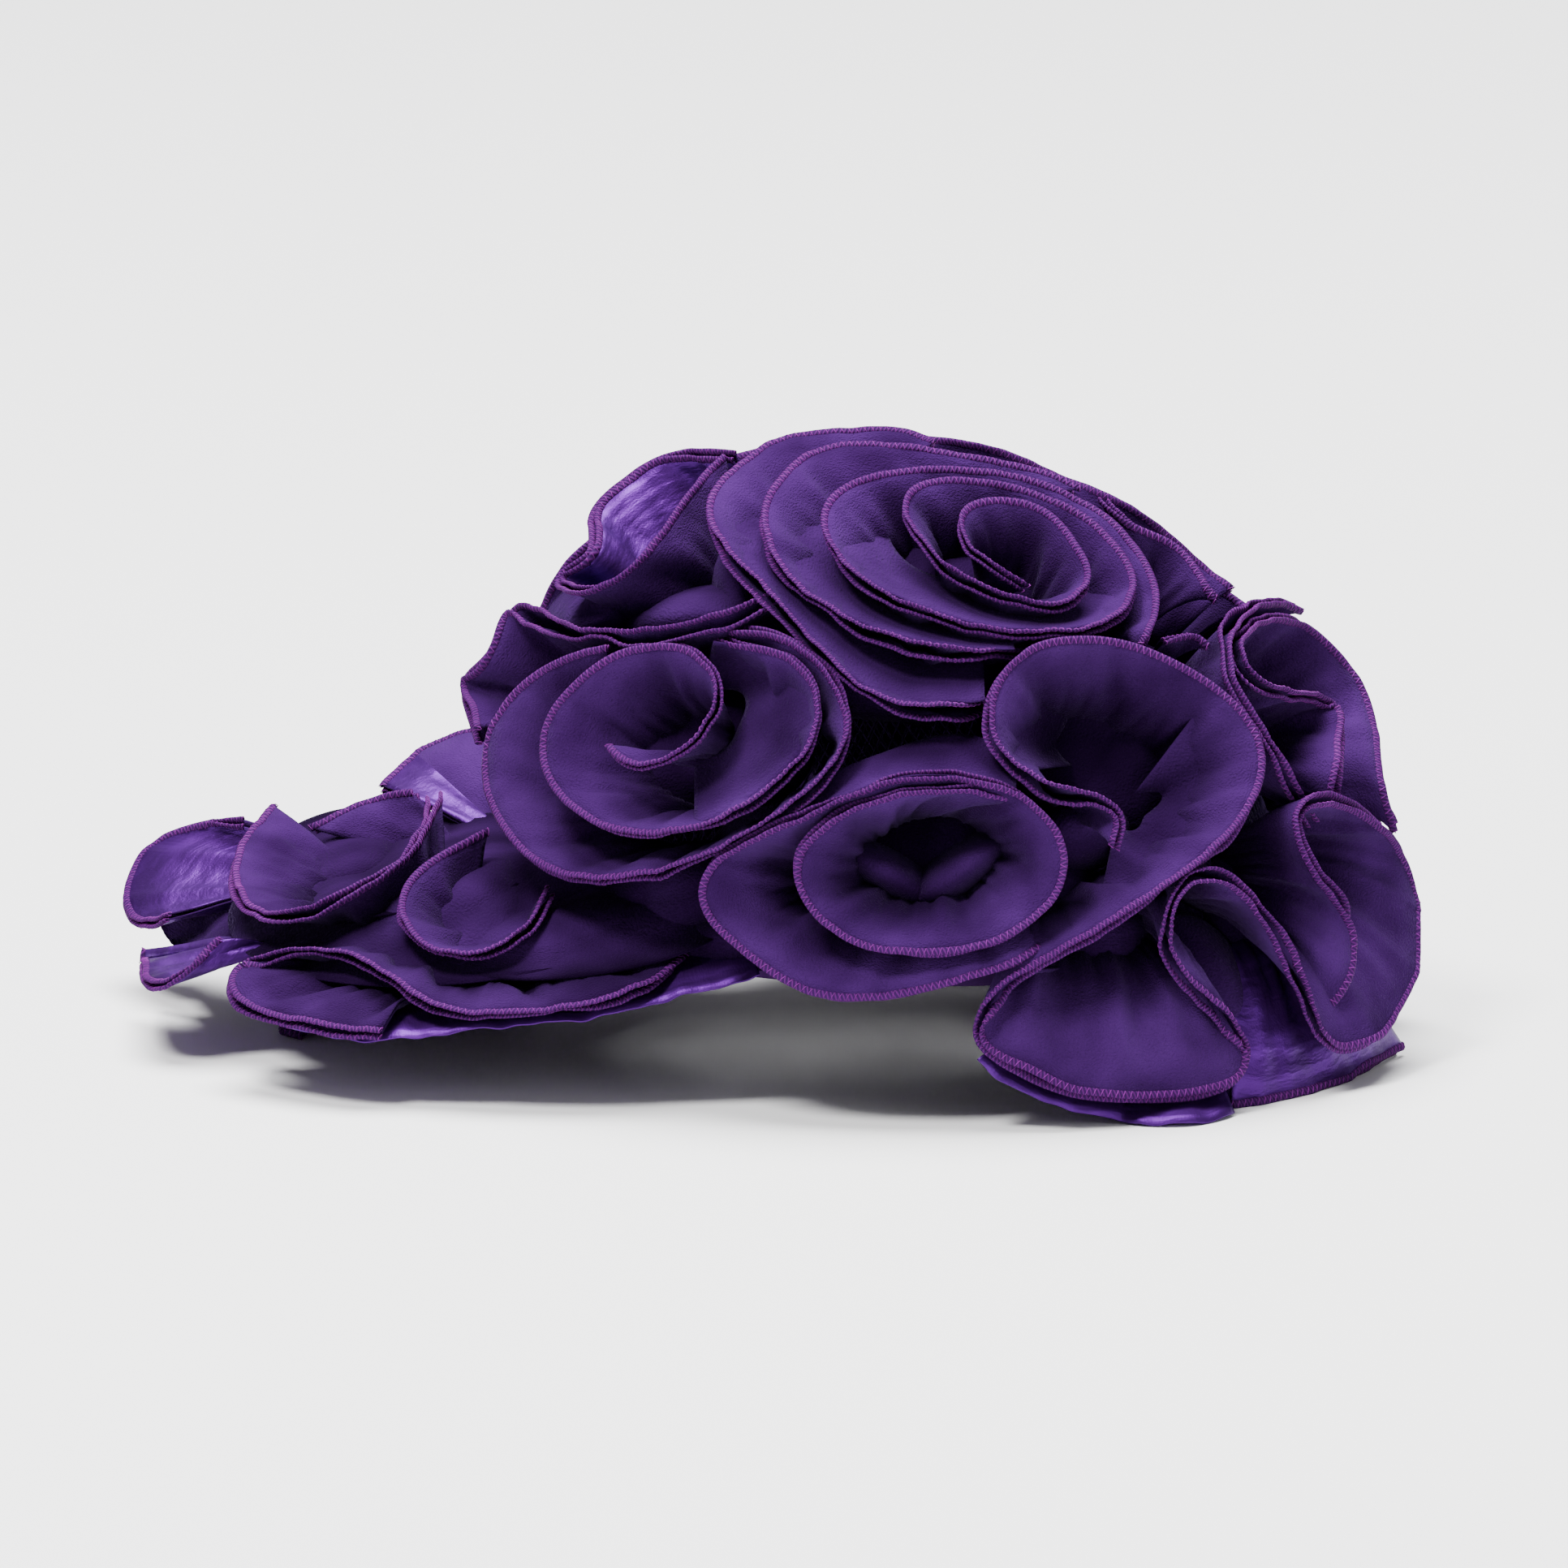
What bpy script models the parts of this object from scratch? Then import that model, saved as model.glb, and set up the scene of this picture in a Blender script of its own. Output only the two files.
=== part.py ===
"""Rosette cap: a net crown with a stiff peak, covered in standing ruffles.

Built in metres, +Z up, with the peak towards -X. The hems of the ruffles are drawn on a board
that faces the wearer's left side and is tipped back by BOARD_TILT, so that each row of a table
can be measured on a side view. Every hem is then carried back to the bulging surface that the
free edges of the ruffles share, and a wall of cloth runs from it down to the net.
"""
import math

import bpy
import bmesh
import numpy as np
from mathutils import Matrix

MM = 0.001

# Drawing board (degrees) and the fold tables' own accuracy
BOARD_TILT = 12.0
TRACE_STEP = 1.0

# Crown: half an egg over an open rim (mm)
CROWN_HALF_LENGTH = 95.0
CROWN_HALF_WIDTH = 78.0
CROWN_RISE = 100.0
CROWN_LEAN = -0.15
RIM_HEIGHT = 32.0
NET_WALL = 1.6
RIM_BAND_WALL = 3.0
RIM_BAND_HEIGHT = 5.0
CROWN_COLUMNS = 32
CROWN_ROWS = 9

# Peak: a curved crescent plate in front of the crown (mm)
PEAK_CENTRE_X = -85.0
PEAK_HALF_LENGTH = 88.0
PEAK_HALF_WIDTH = 72.0
PEAK_SQUARENESS = 2.5
PEAK_THICKNESS = 3.0
PEAK_ROOT_HEIGHT = 44.0
PEAK_SLOPE = 0.20
PEAK_ARCH = 0.0033
PEAK_GAP = 0.6
PEAK_ROWS = 7
PEAK_COLUMNS = 22

# Ruffles: strips of doubled cloth, sewn by one edge (mm)
RUFFLE_WALL = 1.8
SEWN_WALL = 1.1
CROWN_STAND = 30.0
PEAK_STAND = 25.0
SEAM_GAP = 0.6
PEAK_EDGE_GAP = 3.4
PEAK_FACE_GAP = 1.2
SEAM_ABOVE_RIM = 5.0
HANG_SOFTNESS = 14.0
SEWN_SHARE = 0.88
SECTION_LENGTH = 11.5
RIGHT_SECTION_LENGTH = 13.5
FOLD_WEIGHT = 10.0
WALL_ROWS = 3
CROWN_RISE_SHARE = 0.7
PEAK_RISE_SHARE = 0.3
OUTLINE_EASE = 32.0

# The wearer's right side repeats the left in a smaller size
RIGHT_SCALE_BASE = 31.0

# Wavy ruffles over the ridge and down the nape, between the two sides: distance from the
# middle and height of a wave (mm), number of waves, first and last angle (degrees)
RIDGES = {
    "ruffle_ridge": (29.0, 4.0, 5.5, 42.0, 148.0),
    "ruffle_nape": (25.0, 4.0, 2.0, -12.0, 24.0),
}

# Another hangs under the right half of the peak and carries its front (mm and degrees)
UNDER_RING = 0.66
UNDER_WAVE = 0.05
UNDER_WAVES = 3.0
UNDER_FROM = 2.0
UNDER_TO = 70.0
UNDER_STAND = 37.0

# Each fold table has one row per turn of the hem: x and height on the board (mm) and the
# heading of the hem there (degrees, 0 to the back of the cap, 90 upwards)
TOP_HEART = (
    (23, 119.5, 150), (10, 127, 138), (4, 137, 95), (16, 142.3, 0), (33, 133.8, -58), (39.5, 124, -90),
    (31, 114.5, 180), (12, 119, 158), (-3, 129, 128), (-10.5, 141, 90), (2, 147.5, 0),
    (28, 142.6, -22), (44, 132.2, -52), (51, 120, -90), (42, 109.5, 200), (22, 107.5, 180),
    (-8, 114.5, 158), (-26, 126, 130), (-31.5, 137, 90), (-17, 148.5, 12), (8, 150, -5),
    (30, 145.2, -25), (48, 133.5, -50), (57, 115, -88), (54.5, 108, -112),
)
TOP_MIDDLE = (
    (14, 102.5, 180), (-8, 105, 168), (-30, 114, 148), (-43, 126, 118), (-46.8, 138, 90),
    (-39, 151, 48), (-20, 157, 0), (8, 153.5, -10), (30, 148.3, -20), (37, 145.2, -30),
)
TOP_OUTER = (
    (6, 88.3, 178), (-8, 88, 170), (-23, 94.5, 138), (-44, 117, 130), (-57, 130.5, 126),
    (-61.3, 139.5, 90), (-50, 153.5, 42), (-32, 160, 0), (-14, 161, -5), (-1, 157.5, -32),
)
FRONT_HEART = (
    (-87, 78, -100), (-78, 72.7, 5), (-64, 80, 52), (-58, 91.5, 90), (-70, 104.3, 180),
    (-91, 98, 220), (-104.5, 77, 270), (-78, 54.8, 0), (-46, 66, 40), (-31.5, 86.5, 90),
    (-45, 103, 176), (-54, 102.8, 184),
)
FRONT_OUTER = (
    (-87, 103.8, 192), (-100, 100, 206), (-113, 90, 230), (-119.6, 73, 270), (-110, 51, -48),
    (-90, 43.2, 0), (-65, 48, 20), (-47, 57.5, 34), (-34, 67, 50), (-24, 82, 88),
    (-31, 98.5, 128), (-50, 107.6, 178), (-62, 107.2, 186),
)
BROW = (
    (-48, 116, 205), (-64, 110.4, 196), (-82, 108, 180), (-99, 110, 150), (-109, 116, 190),
    (-116, 106, 245), (-121, 98.5, 215), (-125.5, 95, 262), (-123.5, 86, -75),
)
FOREHEAD = (
    (-54, 154.6, 172), (-66, 155, 186), (-84, 146.5, 222), (-92.5, 136, 270),
    (-90.5, 130, -72), (-97, 125, 208), (-101.8, 119.8, 262), (-95, 117.6, 0),
    (-82.5, 122.8, 36), (-71.5, 135.5, 55), (-62.5, 148, 52),
)
LOW_HEART = (
    (-27, 58.3, 200), (-38.4, 45, 270), (-29, 30, -40), (-4, 23.8, 0), (22, 31, 35),
    (32.6, 47, 90), (25, 62, 140), (-5, 69.7, 180), (-30, 62, 207), (-52, 52, 209),
    (-63.2, 40, 270), (-50, 22.8, -40), (-24, 11.8, 0), (10, 18.2, 14),
)
SIDE_LOOP = (
    (45.8, 50.5, 78), (48, 58, 95), (38, 65.8, 174), (21.5, 71, 150), (12, 86, 90),
    (20, 101.5, 40), (38, 106, 0), (61, 99.6, -27), (77, 88.5, -46), (84.2, 74, -90),
    (76, 56, 230), (50.5, 36.3, 215), (30, 24, 211), (16.5, 16.5, 215), (8, 4, 268),
    (22, -11.5, -30), (50, -18.5, 0), (73, -15.5, 22), (80, -3, 90), (71.5, 11, 138),
    (60.5, 22, 112), (59.5, 34, 84), (70, 43.3, 0), (83, 33.5, -58), (93, 12.5, -66),
    (104, -2.5, 0), (118.5, 8, 66), (124.2, 32, 90), (114, 57.5, 132), (98, 66, 180),
    (92.2, 58.5, -88), (100.5, 40, -55), (108.3, 26, -90), (98, 7, 205),
)
BACK_INNER = (
    (104.5, 71, 88), (105.3, 83.5, 94), (100, 91.3, 180), (85, 94, 158), (78, 104, 88),
    (87.5, 111.3, 0), (99.5, 107, -46), (111, 93.5, -64), (115.2, 73, -88), (119.2, 55, -72),
)
BACK_OUTER = (
    (91.5, 70, 118), (81, 87, 121), (75, 102, 92), (87, 115.6, 0), (95, 113.2, -33),
)
BACK_TOP = (
    (41, 142.2, -45), (49, 135.8, -28), (60, 131.5, -30), (68.5, 122, -62), (72, 115, -58),
)
BACK_FOLD = (
    (58.5, 104.5, 42), (65.5, 107.5, 0), (70, 103.5, -70),
)
TAIL = (
    (74, -17, -25), (83, -20, 0), (97, -15.3, 24), (110, -7.5, 32), (119.5, -2, 25),
)
PEAK_LOOP = (
    (-130.5, 65.5, 250), (-136, 53.5, 243), (-152, 40, 212), (-171, 31.5, 180),
    (-186.5, 41, 92), (-183, 52, 66), (-176.5, 61.5, 55),
)
PEAK_LOOP_FOLD = (
    (-166, 56.6, 10), (-157, 61, 28), (-148.5, 64.3, 18), (-139, 66, 5),
)
PEAK_SMALL = (
    (-118, 56, 207), (-131, 49.5, 214), (-141.3, 36.5, 270), (-126, 23.5, 0), (-108, 31, 50),
    (-102, 41.5, 78),
)
PEAK_EDGE = (
    (-66, 23, 222), (-77, 15.8, 204), (-98, 9.6, 186), (-120, 8.2, 178), (-135, 12, 148),
    (-148, 21, 148), (-163, 25, 180), (-180, 22, 208), (-186.4, 14, 270), (-178, 6.6, -8),
    (-162, 3, -12), (-146, 1.6, 2),
)
PEAK_TIP = (
    (-184, 58.5, 165), (-191, 57.8, 190), (-205, 53.5, 208), (-215.2, 37.5, 270),
    (-210.5, 29.3, -15), (-204, 31.5, 25),
)
PEAK_TIP_LOW = (
    (-209, 24, 255), (-206.5, 13.2, 5), (-189, 27, 42),
)
PEAK_CREST = (
    (-147, 67.5, 55), (-138.5, 76, 44), (-131, 80.2, 26), (-126, 81.8, 16),
)

# Ruffle name: fold table, where it is sewn, how far its free edge stands off (share of the
# usual stand), the length that its gathers even out (mm) and how far it sits back (mm)
LEFT_RUFFLES = {
    "rosette_top_heart": (TOP_HEART, "crown", 1.0, 14, 0),
    "rosette_top_middle": (TOP_MIDDLE, "crown", 1.0, 22, 0),
    "rosette_top_outer": (TOP_OUTER, "crown", 1.0, 22, 0),
    "rosette_front_heart": (FRONT_HEART, "crown", 1.0, 22, 0),
    "rosette_front_outer": (FRONT_OUTER, "crown", 1.0, 17, 0),
    "ruffle_brow": (BROW, "crown", 1.0, 12, 0),
    "ruffle_forehead": (FOREHEAD, "crown", 1.0, 4, 0),
    "rosette_low": (LOW_HEART, "crown", 1.0, 24, 0),
    "rosette_side": (SIDE_LOOP, "crown", 1.0, 20, 0),
    "ruffle_back_inner": (BACK_INNER, "crown", 1.0, 6, 0),
    "ruffle_back_outer": (BACK_OUTER, "crown", 1.0, 7, 0),
    "ruffle_back_top": (BACK_TOP, "crown", 1.0, 12, 4),
    "ruffle_back_fold": (BACK_FOLD, "crown", 0.9, 6, 0),
    "ruffle_tail": (TAIL, "crown", 0.8, 14, 0),
    "peak_loop": (PEAK_LOOP, "peak", 1.0, 13, 0),
    "peak_loop_fold": (PEAK_LOOP_FOLD, "peak", 0.9, 8, 12),
    "peak_small": (PEAK_SMALL, "peak", 1.0, 18, 0),
    "peak_edge": (PEAK_EDGE, "peak", 1.0, 5, 0),
    "peak_tip": (PEAK_TIP, "peak", 1.0, 12, 15),
    "peak_tip_low": (PEAK_TIP_LOW, "peak", 1.0, 6, 0),
    "peak_crest": (PEAK_CREST, "peak", 1.0, 10, 24),
}


# Ruffles that the right side repeats: length and height there as a share of the left's
RIGHT_RUFFLES = {
    "rosette_top_heart": (0.88, 0.84),
    "rosette_top_middle": (0.88, 0.84),
    "rosette_top_outer": (0.88, 0.84),
    "rosette_front_heart": (0.88, 0.84),
    "rosette_front_outer": (0.88, 0.84),
    "ruffle_brow": (0.88, 0.84),
    "ruffle_forehead": (0.88, 0.84),
    "rosette_low": (0.88, 0.84),
    "rosette_side": (0.88, 0.84),
    "ruffle_back_inner": (0.88, 0.84),
    "ruffle_back_outer": (0.88, 0.84),
    "ruffle_tail": (0.88, 1.0),
    "peak_edge": (0.92, 1.0),
}


def board_axes():
    """Cosine and sine of the board's tilt."""
    tilt = math.radians(BOARD_TILT)
    return math.cos(tilt), math.sin(tilt)


def trace_hem(folds):
    """Points every TRACE_STEP along the hem that a fold table describes."""
    parts = []
    for (x0, z0, turn0), (x1, z1, turn1) in zip(folds[:-1], folds[1:]):
        start = np.array((x0, z0), float)
        end = np.array((x1, z1), float)
        go = np.array((math.cos(math.radians(turn0)), math.sin(math.radians(turn0))))
        come = np.array((math.cos(math.radians(turn1)), math.sin(math.radians(turn1))))
        chord = end - start
        length = float(np.linalg.norm(chord))
        across = go[0] * come[1] - go[1] * come[0]
        reach0 = reach1 = 0.36 * length
        if abs(across) > 0.12:
            meet0 = (chord[0] * come[1] - chord[1] * come[0]) / across
            meet1 = (chord[0] * go[1] - chord[1] * go[0]) / across
            if 0 < meet0 < 1.6 * length and 0 < meet1 < 1.6 * length:
                reach0 = 0.55 * meet0
                reach1 = 0.55 * meet1
        handle0 = start + go * reach0
        handle1 = end - come * reach1
        count = max(8, int(length * 1.4 / TRACE_STEP))
        t = np.linspace(0.0, 1.0, count, endpoint=False)[:, None]
        parts.append((1 - t) ** 3 * start + 3 * (1 - t) ** 2 * t * handle0
                     + 3 * (1 - t) * t ** 2 * handle1 + t ** 3 * end)
    parts.append(np.array([folds[-1][:2]], float))
    points = np.concatenate(parts)
    return even_out(points, TRACE_STEP)


def even_out(points, step):
    """The same line with its points about one step apart."""
    runs = np.concatenate(([0.0], np.cumsum(np.linalg.norm(np.diff(points, axis=0), axis=1))))
    count = max(2, int(round(runs[-1] / step)) + 1)
    at = np.linspace(0.0, runs[-1], count)
    return np.stack([np.interp(at, runs, points[:, k]) for k in range(points.shape[1])], axis=1)


def draw_together(points, gather):
    """The sewn line of a ruffle: its hem with the folds evened out and pulled inwards."""
    reach = int(round(3 * gather / TRACE_STEP))
    offsets = np.arange(-reach, reach + 1)
    weights = np.exp(-0.5 * (offsets * TRACE_STEP / gather) ** 2)
    places = np.arange(len(points))[:, None] + offsets[None, :]
    inside = (places >= 0) & (places < len(points))
    spread = weights[None, :] * inside
    spread = spread / spread.sum(axis=1, keepdims=True)
    smooth = np.einsum("ij,ijk->ik", spread, points[np.clip(places, 0, len(points) - 1)])
    middle = points.mean(axis=0)
    return middle + SEWN_SHARE * (smooth - middle)


def crown_value(x, y, z, stand):
    """Below 1 inside the crown's surface moved outwards by stand."""
    up = np.maximum(z - RIM_HEIGHT, 0.0)
    along = (x - CROWN_LEAN * up) / (CROWN_HALF_LENGTH + stand)
    return along ** 2 + (y / (CROWN_HALF_WIDTH + stand)) ** 2 + (up / (CROWN_RISE + stand)) ** 2


def peak_middle(x, y):
    """Height of the peak's middle surface."""
    return PEAK_ROOT_HEIGHT + PEAK_SLOPE * (x + CROWN_HALF_LENGTH) - PEAK_ARCH * y ** 2


def peak_ring(along, across):
    """0 at the middle of the peak's outline and 1 on it, a slightly squared ellipse."""
    power = PEAK_SQUARENESS
    return (np.abs(along) ** power + np.abs(across) ** power) ** (1.0 / power)


def peak_value(x, y, z, stand):
    """Below 1 inside the peak's pillow-shaped surface moved outwards by stand."""
    along = (x - PEAK_CENTRE_X) / (PEAK_HALF_LENGTH + stand)
    across = y / (PEAK_HALF_WIDTH + stand)
    rise = (z - peak_middle(x, y)) / (PEAK_THICKNESS + stand)
    return peak_ring(along, across) ** 2 + rise ** 2


def peak_edge_x(y):
    """Where the front edge of the peak lies at a distance from the middle."""
    share = 1.0 - (abs(y) / PEAK_HALF_WIDTH) ** PEAK_SQUARENESS
    return PEAK_CENTRE_X - PEAK_HALF_LENGTH * share ** (1.0 / PEAK_SQUARENESS)


def meet_surface(value, x, height, stand):
    """Where a look through the board at (x, height) meets the surface.

    Near the outline, where the surface turns away, the depth is eased so that a fold drawn
    there keeps its width, also a little outside the surface.
    """
    cosine, sine = board_axes()

    def level(y):
        return value(x, y, (height - y * sine) / cosine, stand)

    tries = np.arange(-150.0, 120.0, 1.0)
    values = np.stack([level(np.full(len(x), y)) for y in tries], axis=1)
    lowest = np.clip(values.argmin(axis=1), 1, len(tries) - 2)
    rows = np.arange(len(x))
    before = values[rows, lowest - 1]
    least = values[rows, lowest]
    after = values[rows, lowest + 1]
    curve = np.maximum(0.5 * (before + after) - least, 1e-6)
    turn = tries[lowest] + 0.25 * (before - after) / curve
    least = np.minimum(least, level(turn))
    near = np.full(len(x), tries[0])
    far = turn.copy()
    for _ in range(30):
        middle = 0.5 * (near + far)
        within = level(middle) < 1.0
        far = np.where(within, middle, far)
        near = np.where(within, near, middle)
    square = np.where(least < 1.0, (turn - far) ** 2, (1.0 - least) / curve)
    eased = (OUTLINE_EASE ** 2 + square) / (2 * OUTLINE_EASE)
    depth = np.where(square > OUTLINE_EASE ** 2, np.sqrt(np.maximum(square, 0.0)), eased)
    y = turn - depth
    return np.stack([x, y, (height - y * sine) / cosine], axis=1)


def sew_to_crown(points, stand):
    """Places on the net, and its normals there, below points of the crown's outer surface."""
    above = (points[:, 2] - RIM_HEIGHT) * CROWN_RISE / (CROWN_RISE + stand)
    up = np.maximum(points[:, 2] - RIM_HEIGHT, 0.0)
    along = (points[:, 0] - CROWN_LEAN * up) / (CROWN_HALF_LENGTH + stand)
    across = points[:, 1] / (CROWN_HALF_WIDTH + stand)
    flat = np.maximum(np.hypot(along, across), 1e-6)
    spare = np.clip(1.0 - above / CROWN_RISE, 0.0, 1.0)
    soft = HANG_SOFTNESS * np.log1p(np.exp(-above / HANG_SOFTNESS))
    rise = np.minimum(above + (SEAM_ABOVE_RIM + soft) * spare, CROWN_RISE * 0.999)
    ring = np.sqrt(np.maximum(1.0 - (rise / CROWN_RISE) ** 2, 0.0))
    length = CROWN_HALF_LENGTH
    width = CROWN_HALF_WIDTH
    place = np.stack([length * ring * along / flat, width * ring * across / flat, rise], axis=1)
    normal = place / np.array((length ** 2, width ** 2, CROWN_RISE ** 2))
    normal = normal / np.linalg.norm(normal, axis=1, keepdims=True)
    place = place + normal * SEAM_GAP
    place[:, 0] += CROWN_LEAN * place[:, 2]
    normal[:, 2] -= CROWN_LEAN * normal[:, 0]
    normal = normal / np.linalg.norm(normal, axis=1, keepdims=True)
    place[:, 2] += RIM_HEIGHT
    return place, normal


def sew_to_peak(points, stand):
    """Places around the peak, and its normals there, below points of its outer surface."""
    along = (points[:, 0] - PEAK_CENTRE_X) / (PEAK_HALF_LENGTH + stand)
    across = points[:, 1] / (PEAK_HALF_WIDTH + stand)
    rise = (points[:, 2] - peak_middle(points[:, 0], points[:, 1])) / (PEAK_THICKNESS + stand)
    size = np.sqrt(peak_ring(along, across) ** 2 + rise ** 2)
    along = along / size
    across = across / size
    rise = rise / size
    x = PEAK_CENTRE_X + (PEAK_HALF_LENGTH + PEAK_EDGE_GAP) * along
    y = (PEAK_HALF_WIDTH + PEAK_EDGE_GAP) * across
    clear = PEAK_THICKNESS * 0.5 + PEAK_FACE_GAP
    lift = clear * np.tanh(rise / 0.25)
    place = np.stack([x, y, peak_middle(x, y) + lift], axis=1)
    ring = np.maximum(peak_ring(along, across), 1e-6)
    ahead = np.sign(along) * ring * (np.abs(along) / ring) ** (PEAK_SQUARENESS - 1)
    aside = np.sign(across) * ring * (np.abs(across) / ring) ** (PEAK_SQUARENESS - 1)
    normal = np.stack([ahead / PEAK_HALF_LENGTH - PEAK_SLOPE * rise / stand,
                       aside / PEAK_HALF_WIDTH + 2 * PEAK_ARCH * y * rise / stand,
                       rise / stand], axis=1)
    normal = normal / np.linalg.norm(normal, axis=1, keepdims=True)
    return place, normal


SEWN_ON = {
    "crown": (crown_value, sew_to_crown, CROWN_STAND, CROWN_RISE_SHARE),
    "peak": (peak_value, sew_to_peak, PEAK_STAND, PEAK_RISE_SHARE),
}


def ruffle_lines(folds, where, share, gather, setback, shrink=None):
    """Hem, sewn line and the net's normals along a ruffle, in mm."""
    value, sew, usual = SEWN_ON[where][:3]
    stand = usual * share
    traced = trace_hem(folds)
    gathered = draw_together(traced, gather)
    if shrink:
        traced = right_side(traced, shrink)
        gathered = right_side(gathered, shrink)
    cosine, sine = board_axes()
    back = np.array((0.0, cosine, -sine)) * setback
    hem = meet_surface(value, traced[:, 0], traced[:, 1], stand) + back
    hem[:, 2] = np.maximum(hem[:, 2], RUFFLE_WALL * 0.5)
    below = meet_surface(value, gathered[:, 0], gathered[:, 1], stand) + back
    sewn, normal = sew(below, stand)
    if shrink:
        for row in (hem, sewn, normal):
            row[:, 1] *= -1
    return hem, sewn, normal


def right_side(points, shrink):
    """Board points of the left side, brought closer together for the right side."""
    result = points.copy()
    result[:, 0] *= shrink[0]
    above = np.maximum(points[:, 1] - RIGHT_SCALE_BASE, 0.0)
    result[:, 1] -= above * (1.0 - shrink[1])
    return result


def ridge_lines(side, wave, waves, start, end):
    """Hem, sewn line and normals of a wavy ruffle that runs from front to back."""
    angle = np.radians(np.linspace(start, end, 300))
    swing = wave * np.sin(np.linspace(0.0, 2 * math.pi * waves, 300))

    def over(across, stand):
        ring = np.sqrt(1.0 - (across / (CROWN_HALF_WIDTH + stand)) ** 2)
        up = (CROWN_RISE + stand) * np.sin(angle) * ring
        x = (CROWN_HALF_LENGTH + stand) * np.cos(angle) * ring
        return np.stack([x + CROWN_LEAN * np.maximum(up, 0.0), across, RIM_HEIGHT + up], axis=1)

    hem = over(side + swing, CROWN_STAND)
    sewn, normal = sew_to_crown(over(side - 0.3 * swing, CROWN_STAND), CROWN_STAND)
    return hem, sewn, normal


def under_lines():
    """Hem, sewn line and normals of the ruffle under the peak."""
    angle = np.radians(np.linspace(UNDER_FROM, UNDER_TO, 120))
    wave = np.sin(np.linspace(0.0, 2 * math.pi * UNDER_WAVES, 120))

    def around(ring, stand):
        x = PEAK_CENTRE_X - (PEAK_HALF_LENGTH + stand) * ring * np.cos(angle)
        y = (PEAK_HALF_WIDTH + stand) * ring * np.sin(angle)
        drop = (PEAK_THICKNESS + stand) * np.sqrt(1.0 - ring ** 2)
        return np.stack([x, y, peak_middle(x, y) - drop], axis=1)

    hem = around(UNDER_RING + UNDER_WAVE * wave, UNDER_STAND)
    hem[:, 2] = np.maximum(hem[:, 2], RUFFLE_WALL * 0.5)
    sewn, normal = sew_to_peak(around(np.full(120, UNDER_RING), UNDER_STAND), UNDER_STAND)
    return hem, sewn, normal


def bends(line):
    """How far a line turns at each of its points, in radians."""
    step = np.diff(line, axis=0)
    way = step / np.maximum(np.linalg.norm(step, axis=1, keepdims=True), 1e-9)
    turn = np.zeros(len(line))
    turn[1:-1] = np.arccos(np.clip((way[1:] * way[:-1]).sum(axis=1), -1.0, 1.0))
    return turn


def pick_sections(hem, sewn, length):
    """Picks along a hem, about one length apart and closer together in tight folds."""
    run = np.linalg.norm(np.diff(hem, axis=0), axis=1)
    turn = np.maximum(bends(hem), bends(sewn))[1:]
    measure = np.concatenate(([0.0], np.cumsum(run + FOLD_WEIGHT * turn)))
    count = max(6, int(round(measure[-1] / length)) + 1)
    at = np.linspace(0.0, measure[-1], count)
    return np.unique(np.round(np.interp(at, measure, np.arange(len(hem)))).astype(int))


def ruffle_grid(hem, sewn, normal, straight, length, rows):
    """Middle of a ruffle's wall: sections along it, rows from the sewn edge to the hem."""
    picks = pick_sections(hem, sewn, length)
    hem = hem[picks]
    sewn = sewn[picks]
    lift = sewn + normal[picks] * straight
    u = np.linspace(0.0, 1.0, rows)[None, :, None]
    return ((1 - u) ** 2 * sewn[:, None] + 2 * u * (1 - u) * lift[:, None]
            + u ** 2 * hem[:, None])


def wall_sides(grid):
    """Both faces of a wall around the grid of its middle, thinner where it is sewn."""
    along = np.gradient(grid, axis=0)
    up = np.gradient(grid, axis=1)
    face = np.cross(along, up)
    face = face / np.maximum(np.linalg.norm(face, axis=2, keepdims=True), 1e-9)
    half = np.linspace(SEWN_WALL, RUFFLE_WALL, grid.shape[1])[None, :, None] * 0.5
    return grid + face * half, grid - face * half


def add_solid(name, points, faces, material):
    """A named solid from points in mm."""
    mesh = bpy.data.meshes.new(name)
    mesh.from_pydata([tuple(p) for p in np.asarray(points) * MM], [], faces)
    mesh.validate()
    solid = bpy.data.objects.new(name, mesh)
    bpy.context.scene.collection.objects.link(solid)
    shape = bmesh.new()
    shape.from_mesh(mesh)
    bmesh.ops.recalc_face_normals(shape, faces=shape.faces)
    if shape.calc_volume(signed=True) < 0:
        bmesh.ops.reverse_faces(shape, faces=shape.faces)
    shape.to_mesh(mesh)
    shape.free()
    for polygon in mesh.polygons:
        polygon.use_smooth = True
    mesh.materials.append(material)
    return solid


def add_wall(name, grid, material):
    """A closed wall around a grid."""
    front, back = wall_sides(grid)
    sections, rows = grid.shape[:2]
    points = np.concatenate([front.reshape(-1, 3), back.reshape(-1, 3)])
    half = sections * rows

    def at(i, j, side):
        return side * half + i * rows + j

    faces = []
    for i in range(sections - 1):
        for j in range(rows - 1):
            faces.append((at(i, j, 0), at(i + 1, j, 0), at(i + 1, j + 1, 0), at(i, j + 1, 0)))
            faces.append((at(i, j, 1), at(i, j + 1, 1), at(i + 1, j + 1, 1), at(i + 1, j, 1)))
        for j in (0, rows - 1):
            faces.append((at(i, j, 0), at(i + 1, j, 0), at(i + 1, j, 1), at(i, j, 1)))
    for j in range(rows - 1):
        for i in (0, sections - 1):
            faces.append((at(i, j, 0), at(i, j + 1, 0), at(i, j + 1, 1), at(i, j, 1)))
    return add_solid(name, points, faces, material)


def add_ruffle(name, lines, straight, length, material):
    """One ruffle as a closed wall, which starts straight off the surface it is sewn to."""
    hem, sewn, normal = lines
    grid = ruffle_grid(hem, sewn, normal, straight, length, WALL_ROWS)
    return add_wall(name, grid, material)


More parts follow.
